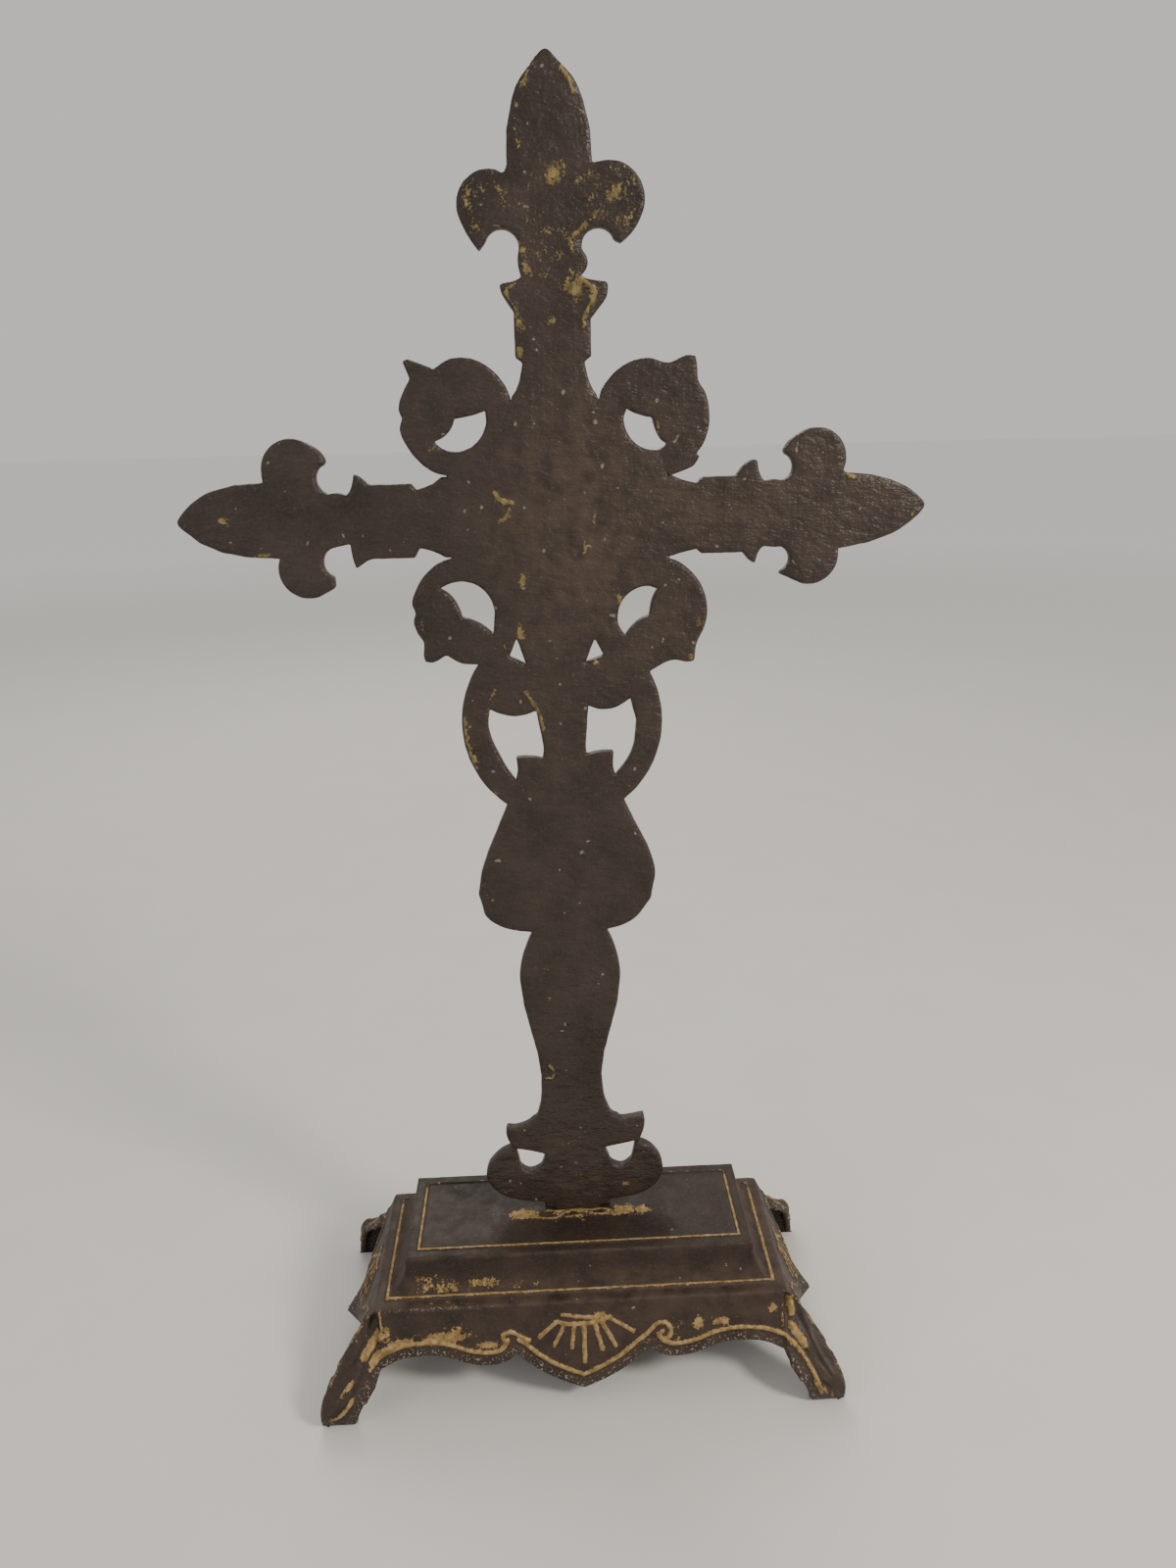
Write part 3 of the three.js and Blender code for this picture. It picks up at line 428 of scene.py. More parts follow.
# Flecks of gilding left on the back of the cross: across, up, half width, half height, strength
BACK_GILT = [
    (1.5, 520.5, 4.5, 4, 0.62),
    (11, 517, 3.5, 2, 0.42),
    (25, 515, 11, 10, 0.46),
    (-26, 512, 9, 9, 0.36),
    (27, 505, 6, 4, 0.42),
    (31, 517, 3, 3, 0.46),
    (-27, 503, 3.4, 2.4, 0.56),
    (-18, 515, 3.4, 1.8, 0.42),
    (-31, 511, 2, 6, 0.3),
    (-8, 507, 1.8, 8, 0.46),
    (-9.6, 490, 1.6, 4, 0.6),
    (9, 483, 6.4, 6, 0.56),
    (0, 500, 8, 14, 0.34),
    (14.5, 480, 2.4, 3, 0.52),
    (0.5, 471.4, 2, 1.4, 0.62),
    (-12, 469, 2.4, 3, 0.56),
    (-13, 460, 1.1, 2.2, 1.0),
    (-8, 454, 0.8, 1.4, 0.6),
    (-132.5, 400.5, 1.8, 1.4, 0.8),
    (-129.6, 399.2, 0.7, 1.2, 0.7),
    (-116.8, 386.8, 3.2, 1.2, 0.85),
    (-90, 391, 4.4, 0.9, 0.5),
    (-74, 391.4, 0.8, 0.8, 0.7),
    (14.4, 397.5, 1, 2.6, 0.66),
    (10.6, 385, 0.8, 4, 0.5),
    (-15.2, 374.6, 1.3, 3.2, 0.86),
    (-17, 353, 1.2, 3.6, 0.86),
    (-23.4, 347.4, 0.8, 1.6, 0.6),
    (24, 366, 1.2, 3, 0.85),
    (56.6, 355, 1.4, 3.4, 0.66),
    (53.4, 341, 1.8, 1.6, 0.66),
    (-56.8, 357.4, 0.9, 3.4, 0.6),
    (46, 454.6, 2.4, 0.7, 0.5),
    (39.8, 432, 0.7, 2.4, 0.8),
    (-47.6, 425.4, 2, 1.4, 0.4),
    (14, 340, 1.2, 1.2, 0.75),
    (9, 338, 1.1, 0.8, 0.7),
    (5.2, 334.4, 0.8, 1.2, 0.5),
    (31, 311, 0.8, 2.2, 0.5),
    (30.6, 317, 1, 1.2, 0.45),
    (11.4, 282, 1.4, 1.4, 0.42),
    (-37, 242, 1.2, 6, 0.45),
    (-14, 200, 5, 1.6, 0.4),
    (-10, 184, 1.6, 3.4, 0.42),
    (24, 81.6, 2.6, 1.8, 0.74),
    (10.4, 74.6, 2.6, 1.1, 0.5),
    (2, 89, 3.4, 6, 0.26),
    (-3, 106, 6, 3, 0.24),
]
# Raised lines on the back: points, width, height and strength of the gilding
BACK_LINES = [
    (
        [(-4.5, 554.5), (-8.2, 549), (-10.6, 543.5), (-11.6, 538), (-11.2, 533), (-10.2, 528)],
        1.5, 0.45, 0.42,
    ),
    ([(5.6, 554), (8, 550.6), (9.9, 546.4)], 1.5, 0.45, 0.86),
    ([(10.6, 544), (12.4, 537), (13.4, 531), (13.8, 526)], 1.3, 0.35, 0.34),
    ([(19, 508), (14.6, 504.4), (9.6, 500.4), (7.6, 497), (8.8, 494.2)], 1.8, 0.55, 0.5),
    ([(-14, 483.4), (-16.9, 481.8), (-15.8, 478.8), (-13.6, 476), (-13, 470)], 1.6, 0.5, 0.66),
    ([(10, 486.4), (13.4, 483.6), (16.6, 480.6), (14.8, 476), (12.8, 473.4), (11.8, 468.4)], 1.8, 0.6, 0.7),
    ([(-12, 498), (-10.6, 494), (-9.4, 488)], 1.6, 0.4, 0.5),
    ([(-9, 447), (-9.6, 440), (-10, 434), (-12, 430.2), (-16, 428.6), (-20.4, 428)], 1.4, 0.4, 0.12),
    ([(10.6, 447), (13, 442), (15.6, 438.6)], 1.4, 0.35, 0.12),
    ([(-25, 409), (-22.8, 406), (-18.2, 405)], 1.7, 0.5, 0.86),
    ([(-19.8, 402.4), (-20.2, 399.4), (-24.4, 397)], 1.5, 0.45, 0.74),
    ([(-15, 328), (-13.4, 324), (-11.4, 321.4), (-10.2, 318.6), (-9, 314), (-8.6, 311.4)], 1.5, 0.5, 0.74),
    ([(-31.6, 320), (-30.6, 325), (-28.6, 330)], 1.3, 0.4, 0.5),
    ([(-41, 318), (-41.4, 312.6), (-40.6, 307), (-39.4, 302), (-37.4, 296)], 1.5, 0.5, 0.72),
    ([(-30.8, 285.6), (-29.4, 283)], 1.2, 0.35, 0.45),
    ([(115.6, 413.4), (118, 411.6), (120, 410.4)], 1.4, 0.4, 0.86),
    ([(121, 411.2), (128, 410), (134, 407.6), (138, 404.6)], 1.1, 0.35, 0.3),
    ([(141, 402.4), (143.6, 400), (142.4, 396)], 1.1, 0.35, 0.45),
    ([(-11.6, 149.6), (-9.2, 146.6)], 1.1, 0.4, 0.9),
    ([(-13.2, 142.6), (-10.6, 142.4), (-8.6, 144.2)], 1.1, 0.4, 0.85),
    ([(44.4, 418.6), (49, 420), (54, 424.4)], 1.6, 0.5, 0.1),
    ([(46.4, 421.6), (50.4, 424.6), (52, 428)], 1.5, 0.4, 0.06),
    ([(-108, 404), (-104, 402.4), (-99, 404.6), (-94, 406)], 2.4, 0.45, 0.0),
]
LINE_RISE = 1.5
# Thin sunk margins of the top and right petals: where they fade in, their width, and from what height
TOP_MARGIN = ((522, 530), (3.4, 4.4))
RIGHT_MARGIN = ((112, 118), (2.6, 3.6), 398)
MARGIN_DEPTH = 0.4
# Ground-down middle: across, up, half width, half height; the skin is rougher at the right end
GROUND_MIDDLE = (10, 395, 60, 70)
ROUGH_RIGHT = (70, 100)
RIPPLE_STRETCH = 2.4
# How far round a point the hidden ornament is softened
SOFTENING = 0.9
# Straight grooves of the ground-down middle: two ends, width and depth
BACK_GROOVES = [
    ((9.6, 441), (19.6, 417), 1.1, 0.28),
    ((19.6, 417), (31.4, 388), 1.0, 0.22),
    ((0.6, 424), (6, 407), 0.9, 0.16),
    ((30, 388.6), (48, 387.2), 1.1, 0.3),
    ((15, 390), (21, 376), 0.9, 0.16),
    ((-18, 432), (-8, 404), 0.9, 0.12),
]
# Broad pale brown on the back, partly differences of tone and partly painted light that makes the side
# right of the middle paler: across, up, half width, half height, share of pale brown
BACK_TONES_AND_LIGHT = [
    (8, 395, 34, 56, 0.75),
    (70, 400, 42, 16, 0.6),
    (105, 400, 34, 30, 0.45),
    (42, 352, 24, 24, 0.5),
    (44, 436, 20, 22, 0.35),
    (0, 310, 40, 40, 0.3),
    (2, 88, 22, 26, 0.4),
    (0, 230, 30, 60, 0.2),
]


def fleck_values(flat, flecks):
    """Strength of soft oval flecks at 2-D points."""
    total = np.zeros(len(flat))
    for x, z, half_width, half_height, strength in flecks:
        away = ((flat[:, 0] - x) / half_width) ** 2 + ((flat[:, 1] - z) / half_height) ** 2
        total = np.maximum(total, strength * np.exp(-0.8 * away))
    return total


def back_relief(flat, distance):
    """Casting skin, margins, lines and grooves on the flat back; the ground middle is smoother."""
    across, up = flat.T
    x, z, half_width, half_height = GROUND_MIDDLE
    ground = np.exp(-(((across - x) / half_width) ** 2 + ((up - z) / half_height) ** 2))
    rough = 0.42 - 0.30 * ground + 0.16 * smoothstep(*ROUGH_RIGHT, across)
    skin = rough * (0.5 * waves(flat, 9.0, 1) + 0.5 * waves(flat / (RIPPLE_STRETCH, 1), 3.2, 2))
    start, width = TOP_MARGIN
    top = smoothstep(*start, up) * (1 - smoothstep(*width, distance))
    start, width, above = RIGHT_MARGIN
    right = smoothstep(*start, across) * (1 - smoothstep(*width, distance)) * (up > above)
    lines, gilt = ridges(flat, BACK_LINES)
    grooves = np.zeros(len(flat))
    for start, end, width, depth in BACK_GROOVES:
        away = path_distance(flat, [start, end]) / width
        grooves = np.maximum(grooves, depth * (1 - smoothstep(0, 1, away)))
    return skin - MARGIN_DEPTH * np.maximum(top, right) + LINE_RISE * lines - grooves, gilt


def face_heights(points):
    """Level of the ornament on the hidden face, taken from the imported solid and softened."""
    solid, faces = solid_of("cross")
    tree = BVHTree.FromPolygons([Vector(p) for p in solid], faces)
    ring = [(SOFTENING * math.cos(a), SOFTENING * math.sin(a)) for a in np.arange(6) * math.pi / 3]
    total = np.zeros(len(points))
    for dx, dz in [(0, 0), *ring]:
        for i, (x, z) in enumerate(points):
            hit = tree.ray_cast(Vector((x + dx, 40, z + dz)), Vector((0, -1, 0)))[0]
            total[i] += hit[1] if hit is not None and hit[1] > 0 else PLATE_FACE
    return total / (len(ring) + 1)


def back_skin(loops):
    """The flat back: points, faces, rim, gilding, and pale film that is partly painted light."""
    flat, faces, rim, distance = face_points(loops, BACK_PITCH)
    skin, line_gilt = back_relief(flat, distance)
    y = PLATE_BACK + edge_fall(distance) - skin * smoothstep(0, 1.6, distance)
    y[rim] = PLATE_BACK + EDGE_ROUND
    gilt = np.maximum(fleck_values(flat, BACK_GILT), line_gilt)
    # Painted light: the pale brown right of the middle makes that side paler, as the light falls from the
    # right; the rest is tone
    film_and_light = fleck_values(flat, BACK_TONES_AND_LIGHT)
    return np.column_stack([flat[:, 0], y, flat[:, 1]]), faced(flat, faces), rim, gilt, film_and_light


def relief_skin(loops):
    """The hidden face with its ornament: points, faces, rim, gilding and pale film."""
    flat, faces, rim, distance = face_points(loops, FACE_PITCH)
    level = face_heights(flat) - PLATE_FACE
    y = PLATE_FACE - edge_fall(distance) + level * smoothstep(0.6, 2.0, distance)
    y[rim] = PLATE_FACE - EDGE_ROUND
    gilt = 0.25 + 0.3 * smoothstep(1.2, 3.2, level)
    film_and_light = np.full(len(flat), 0.2)
    return np.column_stack([flat[:, 0], y, flat[:, 1]]), faced(flat, faces, False), rim, gilt, film_and_light


def cross_piece(material):
    loops = cast_outline([loop for loop in cut_loops(*solid_of("cross"), CUT_LEVEL) if len(loop) > 2])
    back, back_faces, back_rim, back_gilt, back_film_and_light = back_skin(loops)
    face, front_faces, front_rim, front_gilt, front_dust = relief_skin(loops)
    points, gilt, film_and_light = [back, face], [back_gilt, front_gilt], [back_film_and_light, front_dust]
    polygons = back_faces + shifted(front_faces, len(back))
    outline = np.vstack(loops)
    start = len(back) + len(face)
    ladder = [back_rim]
    for y in np.linspace(PLATE_BACK + EDGE_ROUND, PLATE_FACE - EDGE_ROUND, WALL_LEVELS + 1)[1:-1]:
        points.append(np.column_stack([outline[:, 0], np.full(len(outline), y), outline[:, 1]]))
        gilt.append(fleck_values(outline, BACK_GILT) * 0.5)
        film_and_light.append(np.full(len(outline), 0.15))
        ladder.append(np.arange(start, start + len(outline)))
        start += len(outline)
    ladder.append(front_rim + len(back))
    first = 0
    for loop in loops:
        for i in range(len(loop)):
            a, b = first + i, first + (i + 1) % len(loop)
            polygons += [[r[a], s[a], s[b], r[b]] for r, s in zip(ladder, ladder[1:])]
        first += len(loop)
    values = {"gilt": np.concatenate(gilt), "film_and_light": np.concatenate(film_and_light)}
    piece = mesh_piece("cross_casting", np.vstack(points), polygons, values, material)
    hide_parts("cross")


# Surfaces of the base: how far out each one lies at a height


END_APRON_LINE = bent_line(
    (LEDGE[0], LEDGE[2]),
    ((105.4, 31.0), (108.0, 24.5), 16),
    ((110.4, 17.6), (118.2, 14.0), 16),
    ((FEET[0], 0.0), 1),
)
LEG_WIDTH_LINE = bent_line(
    (LEDGE[0], LEDGE[2]),
    ((99.0, 40.0), (113.4, 27.0), (118.3, 15.6), 24),
    ((120.8, 6.0), (FEET[0], 0.0), 8),
)
LEG_DEPTH_LINE = bent_line(
    (LEDGE[1], LEDGE[2]),
    ((36.6, 41.0), 1),
    ((37.5, 36.0), (50.0, 27.0), (60.6, 15.0), 24),
    ((60.9, 5.0), (FEET[1], 0.0), 8),
)
FRONT_APRON_LINE = np.array([(LEDGE[1], LEDGE[2]), (APRON_FOOT, 0.0)])
# Apron, leg, and how far from the middle the leg begins
SURFACES = {
    "front": (FRONT_APRON_LINE, LEG_DEPTH_LINE, LEG_FROM[0]),
    "end": (END_APRON_LINE, LEG_WIDTH_LINE, LEG_FROM[1]),
}


def reach_at(line, height):
    return np.interp(height, line[::-1, 1], line[::-1, 0])


def outward(kind, across, height):
    """How far out a side of the skirt lies; apron and leg meet in a narrow step."""
    apron_line, leg_line, leg_from = SURFACES[kind]
    apron = reach_at(apron_line, height)
    leg = reach_at(leg_line, height)
    return apron + (leg - apron) * smoothstep(leg_from - STEP_WIDTH, leg_from + STEP_WIDTH, np.abs(across))


# Lower edges of the aprons, from the pendant's tip out to the foot


def front_edge():
    foot_in, arch, arch_top = 104.7, 75.0, 26.6
    bulge, bulge_low, cusp, cusp_top, tip = 46.4, 21.2, 31.2, 26.2, 9.0
    shoulder, middle = (tip + cusp_top) / 2, (bulge + arch) / 2
    flank, turn = (cusp * 0.72, shoulder + 1.6), (middle, (bulge_low + arch_top) / 2 + 1)
    return bent_line(
        (0, tip),
        ((cusp * 0.42, shoulder - 4.6), flank, 16),
        ((cusp * 0.9, cusp_top - 3), (cusp, cusp_top), 8),
        ((cusp + 3.4, bulge_low - 0.8), (bulge, bulge_low), 12),
        (((bulge + middle) / 2, bulge_low + 0.6), turn, 10),
        (((arch + middle) / 2, arch_top + 0.6), (arch, arch_top), 10),
        ((91, 27), (101.5, 18.5), (foot_in, 0), 24),
    )


def end_edge():
    foot_in, arch, arch_top = 54.0, 32.0, 33.6
    shoulder, flank, tip = (28.2, 31.4), (19.0, 22.4), 13.8
    return bent_line(
        (0, tip),
        ((flank[0] * 0.6, flank[1] - 5.4), flank, 12),
        ((shoulder[0] - 3, shoulder[1] - 5), shoulder, 10),
        ((shoulder[0] + 1.6, arch_top), (arch, arch_top), 5),
        ((38, 30), (53, 20), (foot_in, 0), 20),
    )


def panel_outline(kind):
    """Closed outline of one side of the skirt, with its lower edge first, and that edge's point count."""
    edge, reach, top, out = {
        "front": (front_edge(), LEG_WIDTH_LINE, LEDGE[0], FEET[0]),
        "end": (end_edge(), LEG_DEPTH_LINE, LEDGE[1], FEET[1]),
    }[kind]
    right = np.vstack([spaced(edge, 0.9), spaced([(edge[-1, 0], 0), (out, 0)], 1.2)[1:]])
    lower = np.vstack([(right[::-1] * (-1, 1))[:-1], right])
    heights = np.linspace(0, LEDGE[2], 50)[1:]
    side = np.column_stack([reach_at(reach, heights), heights])
    across = np.linspace(top, -top, SIDE_COUNT[kind] + 1)
    upper = np.column_stack([across, np.full(len(across), LEDGE[2])])
    return np.vstack([lower, side[:-1], upper, (side * (-1, 1))[::-1][1:]]), len(lower)


def placed(kind, turned, across, height, out):
    """Points of a side in space: the front looks along -Y, the back is the front turned by half."""
    flip = -1 if turned else 1
    if kind == "front":
        return np.column_stack([flip * across, -flip * out, height])
    return np.column_stack([flip * out, flip * across, height])


def filled(outline, pitch, margin):
    """Triangles over a closed outline, with a grid inside that keeps a margin from its edge."""
    grid = grid_inside([outline], pitch)
    return triangulated([outline], grid[near_distance(grid, [outline]) > margin])


def panel(kind, turned):
    """Outer skin of one side of the skirt, flat and in space, and its lower rim."""
    outline, lower_count = panel_outline(kind)
    flat, faces, where = filled(outline, PANEL_PITCH[kind], 0.5 * PANEL_PITCH[kind])
    across, height = flat.T
    return {
        "kind": kind,
        "turned": turned,
        "flat": flat,
        "faces": faced(flat, faces),
        "distance": path_distance(flat, outline[:lower_count]),
        "space": placed(kind, turned, across, height, outward(kind, across, height)),
        "rim": where[:lower_count],
        "outline": outline,
    }


def inner_panel(part):
    """Inner skin of one side, a wall's thickness inside the outer one, and its lower rim."""
    kind, outline, lower_count = part["kind"], part["outline"], len(part["rim"])
    side = LEG_WIDTH_LINE if kind == "front" else LEG_DEPTH_LINE
    flat, faces, where = filled(outline, HIDDEN_PITCH, HIDDEN_MARGIN)
    across, height = flat.T
    out = outward(kind, across, height) - WALL
    limit = reach_at(side, height) - WALL * smoothstep(0, 1, path_distance(flat, outline[:lower_count]))
    across = np.clip(across, -limit, limit)
    points = placed(kind, part["turned"], across, np.minimum(height, LEDGE[2] - WALL), out)
    return points, faced(flat, faces, False), where[:lower_count]


# Raised and gilded strokes: points across and up, width, height and strength of the gilding

PHOTO_VOLUTES = [
    (
        [(-24.9, 32.2), (-29.5, 34.8), (-33.2, 36.4), (-36.4, 35.6), (-36.8, 33.4), (-34.8, 32.8)],
        1.8, 0.9, 0.8,
    ),
    (
        [(27.2, 30.4), (31.4, 34.2), (34.2, 36.8), (37.6, 37.4), (40.4, 35.4), (40.8, 32), (38.4, 29.6)],
        1.7, 0.9, 0.9,
    ),
    ([(38.4, 29.6), (36.2, 30.2), (35.6, 32.4), (37.2, 33.6)], 1.5, 0.8, 0.9),
]
SHELL = [
    ([(-12.4, 39.6), (-20.1, 33.6)], 1.7, 0.8, 0.9),
    ([(-9.1, 37.6), (-13.3, 29.2)], 1.6, 0.8, 0.9),
    ([(-4, 37.9), (-5.2, 28.2)], 1.8, 0.8, 0.9),
    ([(0.7, 37.1), (0.6, 21.5)], 1.9, 0.9, 0.95),
    ([(5.9, 37.4), (8.9, 26.6)], 1.8, 0.8, 0.95),
    ([(9.3, 38.5), (15, 28.1)], 1.7, 0.8, 0.95),
    ([(13.2, 40.1), (18, 37.4), (23.4, 34.1)], 1.7, 0.8, 0.9),
    ([(-9.4, 43), (-1.9, 41.8), (5.6, 41.2), (8.5, 42)], 1.6, 0.7, 0.85),
    ([(-12.4, 40.1), (-5.8, 38.6), (1.7, 38.6), (6.5, 39.4), (13.2, 41)], 1.8, 0.8, 0.85),
]
LEFT_LEG_LEAVES = [
    ([(-93.2, 48), (-92.4, 39)], 1.2, 0.4, 0.7),
    ([(-93, 37), (-97, 33), (-101, 29)], 3.4, 0.9, 0.7),
    ([(-99, 41), (-101.5, 35)], 2.2, 0.8, 0.15),
    ([(-105.6, 22), (-110, 18)], 2, 0.8, 0.6),
    ([(-105.2, 17), (-110.4, 10), (-114, 7.6)], 1.7, 0.9, 0.75),
    ([(-115.6, 8.4), (-115.1, 3)], 1.4, 0.6, 0.5),
    ([(-103.5, 27), (-108.5, 24)], 1.6, 0.6, 0.1),
]
RIGHT_LEG_LEAVES = [
    ([(97.6, 41), (98.4, 36)], 3.4, 1, 0.75),
    ([(97.6, 31.6), (102.6, 26.4)], 3.2, 1, 0.7),
    ([(93.4, 44), (93.2, 33)], 1.6, 0.5, 0.35),
    ([(105.4, 15), (108.8, 7.6)], 1.5, 0.8, 0.6),
    ([(109.6, 12), (111.4, 8)], 1.5, 0.8, 0.5),
    ([(113, 9), (114.2, 5)], 1.5, 0.7, 0.45),
    ([(102.4, 38), (108, 25), (114, 17)], 1.6, 0.6, 0.1),
]
# Hollows between the leaves of a leg: points, width, depth, no gilding
LEG_HOLLOWS = [
    ([(-96.2, 45), (-97.2, 39.6), (-101.6, 33.6), (-106, 27)], 1.6, 0.6, 0),
    ([(-94.6, 41.6), (-99, 37)], 1.2, 0.5, 0),
    ([(-101, 26.4), (-104.6, 20.6), (-107.6, 15.4), (-112, 11.4)], 1.6, 0.6, 0),
    ([(-108, 21.6), (-113.6, 16.4)], 1.2, 0.4, 0),
]
FRONT_PATCHES = [
    (-62, 35.4, 13, 2.6, 0.75),
    (-84, 34, 7, 2.6, 0.7),
    (-58, 37, 5, 3.6, 0.6),
    (-44, 31, 6, 2, 0.7),
    (-90, 38, 3, 4, 0.6),
    (42, 33, 4, 5, 0.45),
    (53.4, 36.6, 2.6, 3.4, 0.7),
    (65, 36.4, 4.6, 1.8, 0.75),
    (88.6, 41, 3, 2.6, 0.7),
    (8, 42, 4, 1.6, 0.6),
]
# Raised line along the lower edge: it fades in above the feet, and ends short of the left leg
CONTOUR = {"rise": 6.6, "width": 1.9, "height": 0.8, "broader": 1.5}
CONTOUR_FEET = (6, 12)
CONTOUR_LEFT_END = (96, 100)


def ridges(points, strokes):
    """Height of rounded strokes and strength of their gilding."""
    height = np.zeros(len(points))
    gilt = np.zeros(len(points))
    for path, width, rise, strength in strokes:
        path = np.array(path, float)
        if len(path) > 2:
            path = spaced(smooth_path(path), 0.5)
        away = path_distance(points, path) / (width / 2)
        round_top = np.sqrt(np.maximum(1 - np.minimum(away, 1) ** 2, 0))
        height = np.maximum(height, rise * round_top)
        gilt = np.maximum(gilt, strength * (1 - smoothstep(0.7, 1.5, away)))
    return height, gilt


def smooth_path(path):
    """A smooth curve through the points of an open path."""
    ends = np.vstack([2 * path[0] - path[1], path, 2 * path[-1] - path[-2]])
    curve = []
    t = np.arange(6)[:, None] / 6
    for p0, p1, p2, p3 in zip(ends, ends[1:], ends[2:], ends[3:]):
        curve.append(0.5 * (2 * p1 + (p2 - p0) * t + (2 * p0 - 5 * p1 + 4 * p2 - p3) * t ** 2
                            + (3 * p1 - p0 - 3 * p2 + p3) * t ** 3))
    return np.vstack([*curve, path[-1:]])


def mirrored_strokes(strokes):
    return strokes + [([(-x, z) for x, z in path], w, h, 0.5 * g) for path, w, h, g in strokes]


def end_strokes():
    """Shell of an end apron: thin ribs spread below a small root, barely gilded."""
    strokes = []
    for turn in (-1, -0.5, 0, 0.5, 1):
        angle = math.radians(46 * turn)
        reach = 19 - 5 * abs(turn)
        start = (4.4 * turn, 41)
        end = (start[0] + reach * math.sin(angle), start[1] - reach * math.cos(angle))
        strokes.append(([start, end], 1.6, 0.8, 0.55))
    strokes.append(([(-8, 43), (0, 41.4), (8, 43)], 1.6, 0.7, 0.55))
    for side in (-1, 1):
        strokes.append(([(side * 37, 42), (side * 41, 33), (side * 46, 24)], 1.8, 0.8, 0.5))
        strokes.append(([(side * 40, 44), (side * 45, 34)], 1.5, 0.6, 0.4))
        strokes.append(([(side * 49, 20), (side * 53, 9)], 1.7, 0.7, 0.45))
    return strokes


def side_relief(part):
    """Relief, gilding, pale crust, and pale film with painted highlights and painted light, of one side of
    the skirt, at its flat points.
    """
    flat, distance = part["flat"], part["distance"]
    across, up = flat.T
    front = part["kind"] == "front"
    broad = CONTOUR["broader"] * smoothstep(76, 92, -across) * front
    contour = np.abs(distance - CONTOUR["rise"]) / ((CONTOUR["width"] + broad) / 2)
    line = np.sqrt(np.maximum(1 - np.minimum(contour, 1) ** 2, 0)) * CONTOUR["height"]
    line_gilt = 1 - smoothstep(0.7, 1.5, contour)
    shown = smoothstep(*CONTOUR_FEET, up)
    if not front:
        height, gilt = ridges(flat, end_strokes())
        # Painted highlights: the end's raised ribs and its raised lower line are made paler, over an even
        # pale film
        film_and_light = 0.35 + 0.6 * np.maximum(smoothstep(0.15, 0.6, height), line_gilt * shown)
        line_gilt = line_gilt * 0.45
        patches = np.zeros(len(flat))
    else:
        # Painted light: the front is made paler towards the right, where the key light falls, over an even
        # pale film; the back gets the same turned round
        film_and_light = 0.25 + 0.25 * smoothstep(-60, 60, across)
        patches = fleck_values(flat, FRONT_PATCHES)
        if part["turned"]:
            strokes = [*SHELL[3:], *PHOTO_VOLUTES[1:], *RIGHT_LEG_LEAVES]
            height, gilt = ridges(flat, mirrored_strokes(strokes))
            line_gilt = line_gilt * 0.7
            patches = patches * 0.7
        else:
            height, gilt = ridges(flat, [*PHOTO_VOLUTES, *SHELL, *LEFT_LEG_LEAVES, *RIGHT_LEG_LEAVES])
            line_gilt = line_gilt * (0.85 - 0.2 * smoothstep(80, 100, across))
            cusp = (np.abs(across) > 30.5) * (np.abs(across) < 34) * (up > 30)
            shown = shown * (1 - smoothstep(*CONTOUR_LEFT_END, -across)) * (1 - cusp)
    height = np.maximum(height, line * shown)
    if front:
        hollows = ridges(flat, LEG_HOLLOWS)[0] + ridges(flat * (-1, 1), LEG_HOLLOWS)[0]
        height = height - hollows * (height < 0.3)
    height = height - 0.5 * (1 - smoothstep(4.4, 6.4, distance))
    # Painted highlight: a pale band along the top of the skirt, just under the ledge's brink
    brink = smoothstep(LEDGE[2] - 1.6, LEDGE[2] - 0.2, up)
    # On the left third of the front the brink also gets pale crumbs and a little gilding: partly real pale
    # specks, partly painted highlight that makes the brink's light show
    worn = brink * smoothstep(30, 60, -across) * front
    crust = (1 - smoothstep(2.0, 5.5, distance)) * smoothstep(0, 1, distance + 0.3)
    gilt = np.maximum.reduce([gilt, line_gilt * shown, patches, 0.3 * worn])
    return height, gilt, np.maximum(crust, 0.8 * worn), np.maximum(film_and_light, 0.9 * brink)


# Mouldings of the base, as rings from the middle of the top out to the ledge

SEAT = {"half": 37.0, "depth": 5.6, "height": 0.5}
# Filler at the joint, across and towards the back
SEAT_STRANDS = [
    ([(-15, -1.6), (-10, -2.2), (-5, -1.9), (1, -1.7), (6, -2.4), (11, -1.8), (15, -2.6)], 1.2, 0.9, 0.7),
    ([(-20, -5.4), (-15, -6.6), (-10, -6), (-7, -3.8), (-3, -2.6), (3, -3.4)], 1.2, 0.9, 0.72),
    ([(-1, -1.8), (4, -3.6), (8.6, -5), (12.6, -4.8), (16, -2.8)], 1.1, 0.8, 0.6),
    ([(-12, -3.6), (-7, -5.4), (-1, -5.8), (3.4, -4.6)], 1.2, 0.7, 0.5),
    ([(17, -6), (20, -4.4), (24, -5.4)], 1.2, 0.6, 0.7),
]
SEAT_GILT = [
    (-26, -3, 8, 3.4, 0.8),
    (-36, -2, 5, 1.6, 0.5),
    (-21, -5.4, 3, 1.2, 0.6),
    (22, -3, 7, 3.4, 0.84),
    (31, -3, 6, 2.2, 0.8),
    (39, -3, 5, 1, 0.34),
    (0, -5.6, 9, 2, 0.4),
    (2.4, -8.4, 1, 0.8, 0.6),
]
COVE_GILT = [
    (-64, 52.5, 14, 3.4, 0.56),
    (-46, 53.5, 10, 2.8, 0.5),
    (-72, 56.5, 6, 3, 0.44),
    (-28, 52, 12, 2, 0.4),
    (66, 57, 6, 3, 0.16),
]


